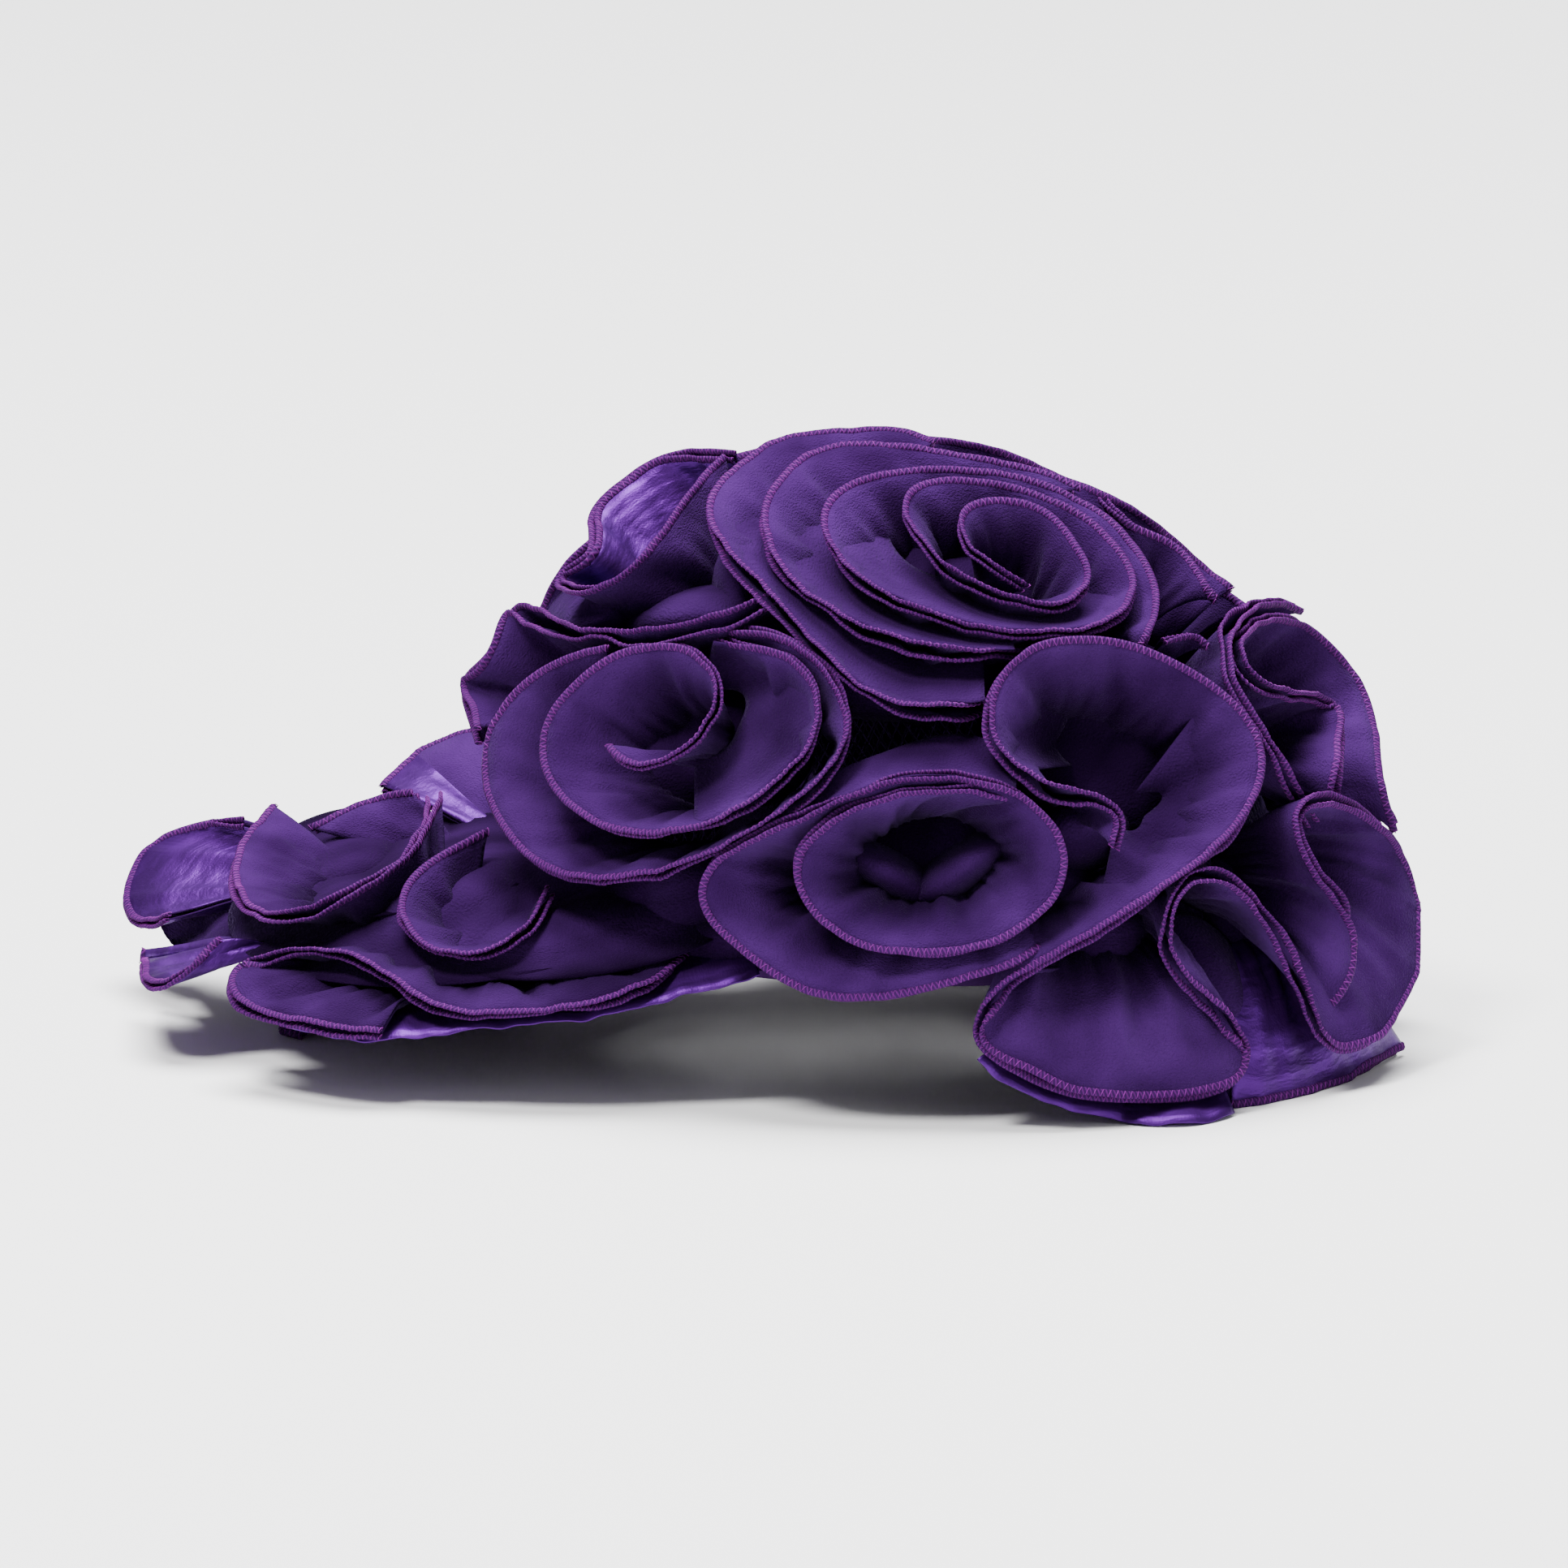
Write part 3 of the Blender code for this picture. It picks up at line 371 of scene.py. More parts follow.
# Cloth that is bunched up inside the loops. Columns: what it is sewn to, middle on the board and
# half sizes (mm), turn (degrees), how far its edge and its middle stand off (share of the usual
# stand), number of folds, height of the folds (mm), how far it sits back (mm) and whether the
# right side has it
BUNCHES = {
    "bunch_low": ("crown", -3, 43, 34, 20, 0, 0.02, 0.20, 2, 2.0, 0, True),
    "bunch_low_tongue": ("crown", -13, 44, 17, 7, -30, 0.05, 0.58, 1, 1.5, 0, True),
    "bunch_low_flap": ("crown", 4, 45, 19, 7, 35, 0.05, 0.62, 1, 1.5, 0, True),
    "bunch_low_back": ("crown", 35, 56, 14, 11, 0, 0.05, 0.50, 1, 1.5, 0, True),
    "bunch_low_fore": ("crown", -46, 52, 18, 11, 38, 0.10, 0.50, 1, 2.0, 0, True),
    "bunch_low_rear": ("crown", 26, 33, 18, 15, 50, 0.05, 0.34, 2, 2.5, 0, True),
    "bunch_side": ("crown", 42, 82, 34, 25, -20, 0.02, 0.20, 1, 2.0, 0, True),
    "bunch_front": ("crown", -70, 80, 30, 22, 0, 0.02, 0.28, 2, 4.0, 0, True),
    "bunch_top": ("crown", 10, 128, 42, 20, -12, 0.05, 0.40, 1, 2.0, 0, False),
    "bunch_top_low": ("crown", -8, 98, 42, 14, 0, 0.10, 0.52, 1, 2.0, 0, True),
    "bunch_back": ("crown", 84, 84, 13, 18, 0, 0.02, 0.30, 2, 3.0, 0, True),
    "bunch_back_low": ("crown", 84, 36, 16, 20, 0, 0.02, 0.34, 2, 4.0, 0, True),
    "bunch_brow": ("crown", -68, 112.5, 25, 9, 6, 0.10, 0.66, 1, 1.5, 0, True),
    "bunch_temple": ("crown", -72, 38, 26, 13, 20, 0.02, 0.36, 2, 3.5, 0, True),
    "bunch_temple_low": ("crown", -60, 26, 18, 9, 10, 0.05, 0.34, 1, 2.0, 0, True),
    "bunch_column": ("crown", 74, 8, 30, 12, -60, 0.20, 0.62, 1, 1.5, 0, True),
    "bunch_peak": ("peak", -125, 38, 62, 22, 6, 0.15, 0.50, 3, 4.0, 0, True),
    "bunch_peak_small": ("peak", -123, 38, 19, 17, 25, 0.25, 0.60, 2, 2.5, 0, False),
    "bunch_tip": ("peak", -192, 35, 14, 13, 0, 0.25, 0.50, 2, 3.0, 20, False),
    "bunch_peak_loop": ("peak", -160, 47, 24, 13, 20, 0.05, 0.50, 1, 3.0, 0, False),
    "bunch_peak_side": ("peak", -92, 30, 40, 12, 8, 0.10, 0.72, 3, 3.0, 0, False),
    "bunch_top_fore": ("crown", -27, 120, 22, 12, 60, 0.10, 0.60, 1, 2.0, 0, True),
    "bunch_forehead": ("crown", -53, 122, 10, 16, 0, 0.10, 0.55, 1, 2.0, 0, True),
    "bunch_forehead_low": ("crown", -89, 114, 15, 9, 25, 0.35, 0.75, 1, 1.5, 0, True),
    "bunch_side_low": ("crown", 43, 27, 15, 11, 10, 0.05, 0.40, 1, 1.5, 0, True),
}

# Cloth that slopes from a hem in to the middle of its loop. Columns: ruffle, first and last row
# of its fold table, middle on the board (mm), how far it runs towards the middle (share), how far
# its end stands off (share of the usual stand), number of folds and their height (mm)
SLOPES = {
    "slope_side": ("rosette_side", 7.6, 11.6, 46, 60, 0.86, 0.30, 1.5, 2.5),
    "slope_side_top": ("rosette_side", 3.0, 7.8, 44, 74, 0.66, 0.20, 3, 2.0),
    "slope_side_low": ("rosette_side", 12.6, 19.0, 43, 21, 0.88, 0.20, 5, 2.2),
    "slope_side_end": ("rosette_side", 24.0, 29.4, 98, 44, 0.80, 0.30, 3, 2.0),
    "slope_front": ("rosette_front_heart", 7.4, 11.4, -64, 84, 0.66, 0.42, 1, 1.0),
    "slope_low_top": ("rosette_low", 8.2, 11.0, 20, 130, 0.19, 0.66, 1.5, 1.0),
    "slope_top_outer": ("rosette_top_outer", 0.5, 7.0, 10, 128, 0.34, 0.60, 3, 1.5),
    "slope_top_middle": ("rosette_top_middle", 0.5, 7.0, 12, 128, 0.34, 0.60, 3, 1.5),
    "slope_top": ("rosette_top_heart", 12.5, 18.5, 14, 130, 0.42, 0.55, 3, 1.5),
}

# The lowest that inner cloth stands off (mm), how far a slope stands off at its hem (share of the
# usual stand), where it starts (share of its way inwards) and how far it sits back (mm)
LEAST_STAND = 1.2
SLOPE_LEVEL = 0.97
SLOPE_START = 0.03
SLOPE_SETBACK = 0.8

# The lowest that a strip reaches above the floor (mm), and its rows
STRIP_FLOOR = 0.9
STRIP_ROWS = 6

# Narrow strips of the satin side that show below a hem. Columns: fold table, what it is sewn
# to, width (mm), how far it sits back (mm)
STRIPS = {
    "strip_side": (((9, -3.5, -52), (20, -11.5, -30), (36, -17.2, -15), (57, -20.3, 0),
                    (76, -17.5, 22)), "crown", 11, 1.2),
    "strip_peak": (((-172, 5.8, -20), (-149.5, 1.2, 0), (-126, 3.4, 8), (-97, 6.3, 5),
                    (-76, 10.5, 15), (-47, 18, 16)), "peak", 11, 6),
}


def length(name, description, default, least, most):
    """A length that a user can change, its values in mm."""
    return bpy.props.FloatProperty(name=name, description=description, default=default * MM,
                                   min=least * MM, max=most * MM, unit="LENGTH")


def colour(name, description, default):
    """A colour that a user can change."""
    return bpy.props.FloatVectorProperty(name=name, description=description, default=default,
                                         min=0.0, max=1.0, size=3, subtype="COLOR")


class CapSizes(bpy.types.PropertyGroup):
    """Sizes of the cloth and its stitching"""
    cloth: length("Cloth", "Thickness of one layer of crepe", 0.45, 0.2, 0.8)
    section: length("Section", "Distance between the sections of a ruffle", 2.0, 0.8, 6)
    rows: bpy.props.IntProperty(
        name="Rows", description="Rows of the cloth between seam and hem", default=9, min=5, max=30)
    fold: length("Folds", "Height of the soft folds half way up a ruffle", 1.8, 0, 3)
    gather: length("Gathers", "Height of the small gathers along a seam", 0.9, 0, 2)
    curl: length("Curl", "Height of the waves along a hem", 0.35, 0, 2)
    hem_width: length("Hem width", "Width of the overlocked hem", 2.3, 1, 5)
    hem_depth: length("Hem thickness", "Thickness of the overlocked hem", 1.0, 0.6, 3)
    stitch_pitch: length("Stitch spacing", "Distance between two stitches of the hem", 2.0, 1, 6)
    thread: length("Thread", "Thickness of the hem's thread", 0.34, 0.2, 1)
    slant: bpy.props.FloatProperty(
        name="Stitch slant", description="Slant of the stitches across the hem",
        default=math.radians(24), min=0.0, max=math.radians(60), subtype="ANGLE")
    net_cell: length("Net cell", "Width of a cell of the net at the rim", 3.2, 2, 10)
    net_thread: length("Net thread", "Thickness of the net's threads", 0.5, 0.2, 1)
    camera_distance: bpy.props.FloatProperty(
        name="Camera distance", description="Distance from the camera to the near side of the cap",
        default=9.0, min=1.0, max=12.0, unit="LENGTH")


class CapColours(bpy.types.PropertyGroup):
    """Colours of the cloth, threads and floor"""
    crepe: colour("Crepe", "Matte side of the cloth", (0.044, 0.0118, 0.091))
    # The darker crepe colour, times SEAM_SHADE, also makes the painted shade at the crepe's seam
    crepe_deep: colour("Crepe shade", "Darker places in the matte side", (0.019, 0.0044, 0.040))
    satin: colour("Satin", "Glossy reverse of the cloth", (0.058, 0.0105, 0.132))
    hem: colour("Hem", "Cloth inside the hem", (0.027, 0.0052, 0.052))
    thread: colour("Thread", "Thread around the hem", (0.165, 0.018, 0.21))
    net: colour("Net", "Threads of the net crown", (0.035, 0.014, 0.075))
    floor: colour("Floor", "Studio floor", (0.86, 0.86, 0.87))


def board_axes():
    """Cosine and sine of the board's tilt."""
    tilt = math.radians(BOARD_TILT)
    return math.cos(tilt), math.sin(tilt)


def back_by(distance):
    """A move straight back from the board, in mm."""
    cosine, sine = board_axes()
    return np.array((0.0, cosine, -sine)) * distance


def unit(vectors):
    """Vectors of length 1."""
    return vectors / np.maximum(np.linalg.norm(vectors, axis=-1, keepdims=True), 1e-9)


def heading(turn):
    """The flat direction of a turn in degrees."""
    return np.array((math.cos(math.radians(turn)), math.sin(math.radians(turn))))


def flat_cross(first, second):
    """The cross product of two flat vectors."""
    return first[0] * second[1] - first[1] * second[0]


def run_along(points):
    """The distance run from the start of a line to each of its points."""
    return np.concatenate(([0.0], np.cumsum(np.linalg.norm(np.diff(points, axis=0), axis=1))))


def picked(values, measure, places):
    """The columns of a line's values at places along its measure."""
    return np.stack([np.interp(places, measure, column) for column in values.T], axis=1)


def trace_hem(folds):
    """Points along the hem of a fold table, each with the number of the row it has reached."""
    parts = []
    for number, (first, last) in enumerate(zip(folds[:-1], folds[1:])):
        start, end = np.array(first[:2], float), np.array(last[:2], float)
        go, come = heading(first[2]), heading(last[2])
        chord = end - start
        length = float(np.linalg.norm(chord))
        reach0 = reach1 = STRAIGHT_REACH * length
        across = flat_cross(go, come)
        if abs(across) > LEAST_TURN:
            meet0 = flat_cross(chord, come) / across
            meet1 = flat_cross(chord, go) / across
            if 0 < meet0 < FARTHEST_MEET * length and 0 < meet1 < FARTHEST_MEET * length:
                reach0, reach1 = TURN_REACH * meet0, TURN_REACH * meet1
        handle0 = start + go * reach0
        handle1 = end - come * reach1
        count = max(8, int(length * 1.4 / TRACE_STEP))
        t = np.linspace(0.0, 1.0, count, endpoint=False)[:, None]
        line = ((1 - t) ** 3 * start + 3 * (1 - t) ** 2 * t * handle0
                + 3 * (1 - t) * t ** 2 * handle1 + t ** 3 * end)
        parts.append(np.concatenate([line, number + t], axis=1))
    parts.append(np.array([(*folds[-1][:2], len(folds) - 1)], float))
    points = np.concatenate(parts)
    run = run_along(points[:, :2])
    count = max(2, int(round(run[-1] / TRACE_STEP)) + 1)
    even = picked(points, run, np.linspace(0.0, run[-1], count))
    return even[:, :2], even[:, 2]


def bell(reach):
    """Steps along a traced line within three times a reach, and their bell-shaped weights."""
    steps = int(round(3 * reach / TRACE_STEP))
    offsets = np.arange(-steps, steps + 1)
    return offsets, np.exp(-0.5 * (offsets * TRACE_STEP / reach) ** 2)


def soft_hem(folds):
    """The hem of a fold table with its corners rounded and its ends kept, and the rows reached."""
    points, reached = trace_hem(folds)
    offsets, weights = bell(HEM_SOFTNESS)
    steps = offsets[-1]
    first = 2 * points[0] - points[1:steps + 1][::-1]
    last = 2 * points[-1] - points[-steps - 1:-1][::-1]
    longer = np.concatenate([first, points, last])
    soft = [np.convolve(column, weights / weights.sum(), "valid") for column in longer.T]
    return np.stack(soft, axis=1), reached


def draw_together(points, gather):
    """The sewn line of a ruffle: its hem with the folds evened out and pulled inwards."""
    offsets, weights = bell(gather)
    places = np.arange(len(points))[:, None] + offsets
    spread = weights * ((places >= 0) & (places < len(points)))
    spread = spread / spread.sum(axis=1, keepdims=True)
    smooth = np.einsum("ij,ijk->ik", spread, points[np.clip(places, 0, len(points) - 1)])
    middle = points.mean(axis=0)
    return middle + SEWN_SHARE * (smooth - middle)


def over_crown(x, y, z, stand):
    """Height over the rim, and shares of the length and width of the crown moved outwards."""
    up = np.maximum(z - RIM_HEIGHT, 0.0)
    return up, (x - CROWN_LEAN * up) / (CROWN_HALF_LENGTH + stand), y / (CROWN_HALF_WIDTH + stand)


def crown_value(x, y, z, stand):
    """Below 1 inside the crown's surface moved outwards by stand."""
    up, along, across = over_crown(x, y, z, stand)
    return along ** 2 + across ** 2 + (up / (CROWN_RISE + stand)) ** 2


def peak_middle(x, y):
    """Height of the peak's middle surface."""
    return PEAK_ROOT_HEIGHT + PEAK_SLOPE * (x + CROWN_HALF_LENGTH) - PEAK_ARCH * y ** 2


def peak_ring(along, across):
    """0 at the middle of the peak's outline and 1 on it, a slightly squared ellipse."""
    power = PEAK_SQUARENESS
    return (np.abs(along) ** power + np.abs(across) ** power) ** (1.0 / power)


def over_peak(x, y, z, stand):
    """Shares of the length, width and thickness of the peak moved outwards."""
    return ((x - PEAK_CENTRE_X) / (PEAK_HALF_LENGTH + stand), y / (PEAK_HALF_WIDTH + stand),
            (z - peak_middle(x, y)) / (PEAK_THICKNESS + stand))


def peak_value(x, y, z, stand):
    """Below 1 inside the peak's pillow-shaped surface moved outwards by stand."""
    along, across, rise = over_peak(x, y, z, stand)
    return peak_ring(along, across) ** 2 + rise ** 2


def peak_edge_x(y):
    """Where the front edge of the peak lies at a distance from the middle."""
    share = 1.0 - (abs(y) / PEAK_HALF_WIDTH) ** PEAK_SQUARENESS
    return PEAK_CENTRE_X - PEAK_HALF_LENGTH * share ** (1.0 / PEAK_SQUARENESS)


def meet_surface(value, board, stand, setback=0.0):
    """Where a look through board points meets a surface, eased at its outline and set back."""
    x, height = board.T
    cosine, sine = board_axes()

    def level(y):
        return value(x, y, (height - y * sine) / cosine, stand)

    tries = np.arange(*LOOK_RANGE, 1.0)
    values = np.stack([level(np.full(len(x), y)) for y in tries], axis=1)
    lowest = np.clip(values.argmin(axis=1), 1, len(tries) - 2)
    rows = np.arange(len(x))
    before, least, after = (values[rows, lowest + k] for k in (-1, 0, 1))
    curve = np.maximum(0.5 * (before + after) - least, 1e-6)
    turn = tries[lowest] + 0.25 * (before - after) / curve
    least = np.minimum(least, level(turn))
    near = np.full(len(x), tries[0])
    far = turn.copy()
    for _ in range(LOOK_HALVINGS):
        middle = 0.5 * (near + far)
        within = level(middle) < 1.0
        far = np.where(within, middle, far)
        near = np.where(within, near, middle)
    square = np.where(least < 1.0, (turn - far) ** 2, (1.0 - least) / curve)
    eased = (OUTLINE_EASE ** 2 + square) / (2 * OUTLINE_EASE)
    depth = np.where(square > OUTLINE_EASE ** 2, np.sqrt(np.maximum(square, 0.0)), eased)
    y = turn - depth
    return np.stack([x, y, (height - y * sine) / cosine], axis=1) + back_by(setback)


def sew_to_crown(points, stand):
    """Places on the net, and its normals there, below points of the crown's outer surface."""
    above = (points[:, 2] - RIM_HEIGHT) * CROWN_RISE / (CROWN_RISE + stand)
    _, along, across = over_crown(*points.T, stand)
    flat = np.maximum(np.hypot(along, across), 1e-6)
    spare = np.clip(1.0 - above / CROWN_RISE, 0.0, 1.0)
    soft = HANG_SOFTNESS * np.log1p(np.exp(-above / HANG_SOFTNESS))
    rise = np.minimum(above + (SEAM_ABOVE_RIM + soft) * spare, CROWN_RISE * 0.999)
    ring = np.sqrt(np.maximum(1.0 - (rise / CROWN_RISE) ** 2, 0.0))
    place = np.stack([CROWN_HALF_LENGTH * ring * along / flat,
                      CROWN_HALF_WIDTH * ring * across / flat, rise], axis=1)
    normal = unit(place / np.array((CROWN_HALF_LENGTH, CROWN_HALF_WIDTH, CROWN_RISE)) ** 2)
    place = place + normal * SEAM_GAP
    place[:, 0] += CROWN_LEAN * place[:, 2]
    normal[:, 2] -= CROWN_LEAN * normal[:, 0]
    place[:, 2] += RIM_HEIGHT
    return place, unit(normal)


def sew_to_peak(points, stand):
    """Places around the peak, and its normals there, below points of its outer surface."""
    along, across, rise = over_peak(*points.T, stand)
    size = np.sqrt(peak_ring(along, across) ** 2 + rise ** 2)
    along, across, rise = along / size, across / size, rise / size
    x = PEAK_CENTRE_X + (PEAK_HALF_LENGTH + PEAK_EDGE_GAP) * along
    y = (PEAK_HALF_WIDTH + PEAK_EDGE_GAP) * across
    lift = (PEAK_THICKNESS * 0.5 + PEAK_FACE_GAP) * np.tanh(rise / PEAK_ROUNDING)
    ring = np.maximum(peak_ring(along, across), 1e-6)

    def outwards(share):
        return np.sign(share) * ring * (np.abs(share) / ring) ** (PEAK_SQUARENESS - 1)

    normal = np.stack([outwards(along) / PEAK_HALF_LENGTH - PEAK_SLOPE * rise / stand,
                       outwards(across) / PEAK_HALF_WIDTH + 2 * PEAK_ARCH * y * rise / stand,
                       rise / stand], axis=1)
    return np.stack([x, y, peak_middle(x, y) + lift], axis=1), unit(normal)


# How a ruffle meets what carries it: the bulging surface, the seam, the usual stand (mm) and
# the share of it that the cloth rises straight before it turns to its hem
SEWN_ON = {
    "crown": (crown_value, sew_to_crown, CROWN_STAND, 0.7),
    "peak": (peak_value, sew_to_peak, PEAK_STAND, 0.3),
}


def right_side(points, shrink):
    """Board points of the left side, brought closer together for the right side."""
    result = points.copy()
    result[:, 0] *= shrink[0]
    above = np.maximum(points[:, 1] - RIGHT_SCALE_BASE, 0.0)
    result[:, 1] -= above * (1.0 - shrink[1])
    return result


def ruffle_lines(folds, where, share, gather, setback, shrink=None):
    """Hem, sewn line, the net's normals and the rows reached along a ruffle, in mm."""
    value, sew, usual = SEWN_ON[where][:3]
    stand = usual * share
    hem, reached = soft_hem(folds)
    gathered = draw_together(hem, gather)
    if shrink:
        hem, gathered = right_side(hem, shrink), right_side(gathered, shrink)
    hem = meet_surface(value, hem, stand, setback)
    sewn, normal = sew(meet_surface(value, gathered, stand, setback), stand)
    if shrink:
        for row in (hem, sewn, normal):
            row[:, 1] *= -1
    return hem, sewn, normal, reached


def ridge_lines(side, wave, waves, start, end):
    """Hem, sewn line and normals of a wavy ruffle that runs from front to back."""
    angle = np.radians(np.linspace(start, end, RIDGE_POINTS))
    swing = wave * np.sin(np.linspace(0.0, 2 * math.pi * waves, RIDGE_POINTS))

    def over(across, stand):
        ring = np.sqrt(1.0 - (across / (CROWN_HALF_WIDTH + stand)) ** 2)
        up = (CROWN_RISE + stand) * np.sin(angle) * ring
        x = (CROWN_HALF_LENGTH + stand) * np.cos(angle) * ring
        return np.stack([x + CROWN_LEAN * np.maximum(up, 0.0), across, RIM_HEIGHT + up], axis=1)

    hem = over(side + swing, CROWN_STAND)
    sewn, normal = sew_to_crown(over(side - 0.3 * swing, CROWN_STAND), CROWN_STAND)
    return hem, sewn, normal, np.linspace(0.0, 1.0, RIDGE_POINTS)


def under_lines():
    """Hem, sewn line and normals of the ruffle under the peak."""
    angle = np.radians(np.linspace(UNDER_FROM, UNDER_TO, UNDER_POINTS))
    wave = np.sin(np.linspace(0.0, 2 * math.pi * UNDER_WAVES, UNDER_POINTS))

    def around(ring, stand):
        x = PEAK_CENTRE_X - (PEAK_HALF_LENGTH + stand) * ring * np.cos(angle)
        y = (PEAK_HALF_WIDTH + stand) * ring * np.sin(angle)
        drop = (PEAK_THICKNESS + stand) * np.sqrt(1.0 - ring ** 2)
        return np.stack([x, y, peak_middle(x, y) - drop], axis=1)

    hem = around(UNDER_RING + UNDER_WAVE * wave, UNDER_STAND)
    seam = around(np.full(UNDER_POINTS, UNDER_RING), UNDER_STAND)
    return (hem, *sew_to_peak(seam, UNDER_STAND), np.linspace(0.0, 1.0, UNDER_POINTS))


def shift_to_frame():
    """From the tables' origin to the solid model's, in mm."""
    low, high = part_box("crown_net")
    return np.array((high[0] / MM - CROWN_HALF_LENGTH, (low[1] + high[1]) / (2 * MM),
                     low[2] / MM - RIM_HEIGHT))


def wander(along, length, seed):
    """A smooth wave between about -1 and 1 that doesn't visibly repeat."""
    turn = along * (2 * math.pi / length)
    return (np.sin(turn + 1.7 * seed) + 0.6 * np.sin(1.73 * turn + 2.9 * seed)
            + 0.4 * np.sin(2.61 * turn + 5.1 * seed)) / 1.7


def face_of(grid):
    """Normals of a grid: to the right of its hem's heading, seen from outside."""
    return unit(np.cross(np.gradient(grid, axis=0), np.gradient(grid, axis=1)))


def even_sections(lines, step):
    """The lines of a ruffle at even steps along its hem, with the distance run."""
    hem, sewn, normal, reached = lines
    measure = run_along(hem) + SEAM_MEASURE * run_along(sewn)
    count = max(8, int(round(measure[-1] / step)) + 1)
    at = np.linspace(0.0, measure[-1], count)
    hem, sewn, normal = (picked(line, measure, at) for line in (hem, sewn, normal))
    return hem, sewn, unit(normal), np.interp(at, measure, reached), run_along(hem)


def layer_grids(lines, straight, sizes, seed, side, part, tuck):
    """Middle surfaces of a ruffle's front and second layer, and what runs along them."""
    hem, sewn, normal, reached, along = even_sections(lines, sizes.section / MM)
    u = np.linspace(0.0, 1.0, sizes.rows)[None, :, None]
    lift = sewn + normal * straight
    grid = (1 - u) ** 2 * sewn[:, None] + 2 * u * (1 - u) * lift[:, None] + u ** 2 * hem[:, None]
    away = back_by(1.0) * (1.0, 1.0 if hem[:, 1].mean() < 0 else -1.0, 1.0)
    sink = sum(depth * np.clip(1.0 - gone / TUCK_LENGTH, 0.0, 1.0) ** 1.6
               for depth, gone in zip(tuck, (along, along[-1] - along)))
    grid = grid + away * sink[:, None, None] * u
    face = face_of(grid)
    u = u[..., 0]
    run = along[:, None]
    bend = (sizes.fold / MM * wander(run + FOLD_SLANT * u, FOLD_LENGTH, seed)
            * np.sin(math.pi * u) ** 1.2
            + sizes.gather / MM * wander(run, GATHER_LENGTH, seed + 2)
            * (1 - u) ** 1.4 * np.minimum(1, 6 * u)
            + sizes.curl / MM * wander(run, CURL_LENGTH, seed + 5) * u ** 4)
    front = grid + face * bend[..., None]
    gap = part * (0.62 + 0.38 * wander(along, PART_LENGTH, seed + 1))[:, None] * u ** 2.2
    gap = side * (sizes.cloth / MM * 1.25 + gap)
    drop = 1.0 + 0.5 * wander(along, DROP_LENGTH, seed + 8)[:, None]
    up = unit(np.gradient(front, axis=1))
    second = front + face * gap[..., None] - up * (drop * u ** 3)[..., None]
    return front, second, reached, along


def sheet_area(grid):
    """Area of a grid's surface."""
    sides = np.cross(np.diff(grid, axis=0)[:, :-1], np.diff(grid, axis=1)[:-1])
    return float(np.linalg.norm(sides, axis=2).sum())


def keep_above(points, height):
    """Lifts what would reach below a height over the floor."""
    points[..., 2] = np.maximum(points[..., 2], height)
    return points


def thicken(grid):
    """Both sides of a layer of cloth around its middle surface, in mm."""
    half = face_of(grid) * (bpy.context.scene.cap_sizes.cloth / MM * 0.5)
    return keep_above(np.stack([grid + half, grid - half]), CLOTH_ABOVE_FLOOR)


def sheet_faces(sections, rows, base=0):
    """Faces of a thin closed sheet: its two sides, then its ends and its edges."""
    half = sections * rows
    i, j = np.meshgrid(np.arange(sections - 1), np.arange(rows - 1), indexing="ij")
    a = (i * rows + j).ravel()
    right = np.stack([a, a + rows, a + rows + 1, a + 1], axis=1)
    edges = []
    for row in (0, rows - 1):
        b = np.arange(sections - 1) * rows + row
        edge = np.stack([b, b + half, b + half + rows, b + rows], axis=1)
        edges.append(edge if row == 0 else edge[:, ::-1])
    for section in (0, sections - 1):
        b = section * rows + np.arange(rows - 1)
        edge = np.stack([b, b + 1, b + 1 + half, b + half], axis=1)
        edges.append(edge if section == 0 else edge[:, ::-1])
    return np.concatenate([right, right[:, ::-1] + half] + edges) + base


def tube_faces(count, sides, closed=False):
    """Faces between rings that follow one another, the last one joined to the first if closed."""
    i, j = np.meshgrid(np.arange(count if closed else count - 1), np.arange(sides), indexing="ij")
    here = i * sides
    ahead = (i + 1) % count * sides
    more = (j + 1) % sides
    return np.stack([here + j, here + more, ahead + more, ahead + j], axis=2).reshape(-1, 4)


def make_mesh(name, points, faces, materials, slots=None, cloth=None):
    """A smooth mesh object from points in metres and quads."""
    mesh = bpy.data.meshes.new(name)
    faces = np.asarray(faces)
    mesh.vertices.add(len(points))
    mesh.vertices.foreach_set("co", np.asarray(points, np.float32).ravel())
    mesh.loops.add(faces.size)
    mesh.loops.foreach_set("vertex_index", faces.ravel().astype(np.int32))
    mesh.polygons.add(len(faces))
    starts = np.arange(0, faces.size, faces.shape[1], dtype=np.int32)
    mesh.polygons.foreach_set("loop_start", starts)
    for material in materials:
        mesh.materials.append(material)
    if slots is not None:
        mesh.polygons.foreach_set("material_index", np.asarray(slots, np.int32))
    mesh.update(calc_edges=True)
    mesh.validate()
    mesh.shade_smooth()
    if cloth is not None:
        set_vectors(mesh, "cloth", cloth)
    return linked(name, mesh)


def set_vectors(mesh, name, vectors):
    """Stores a vector at every point of a mesh."""
    attribute = mesh.attributes.new(name, "FLOAT_VECTOR", "POINT")
    attribute.data.foreach_set("vector", np.asarray(vectors, np.float32).ravel())


def linked(name, data):
    """A new object of the scene."""
    holder = bpy.data.objects.new(name, data)
    bpy.context.scene.collection.objects.link(holder)
    return holder


def face_outwards(piece):
    """Turns the faces of closed shells outwards."""
    shape = bmesh.new()
    shape.from_mesh(piece.data)
    bmesh.ops.recalc_face_normals(shape, faces=shape.faces)
    shape.to_mesh(piece.data)
    shape.free()


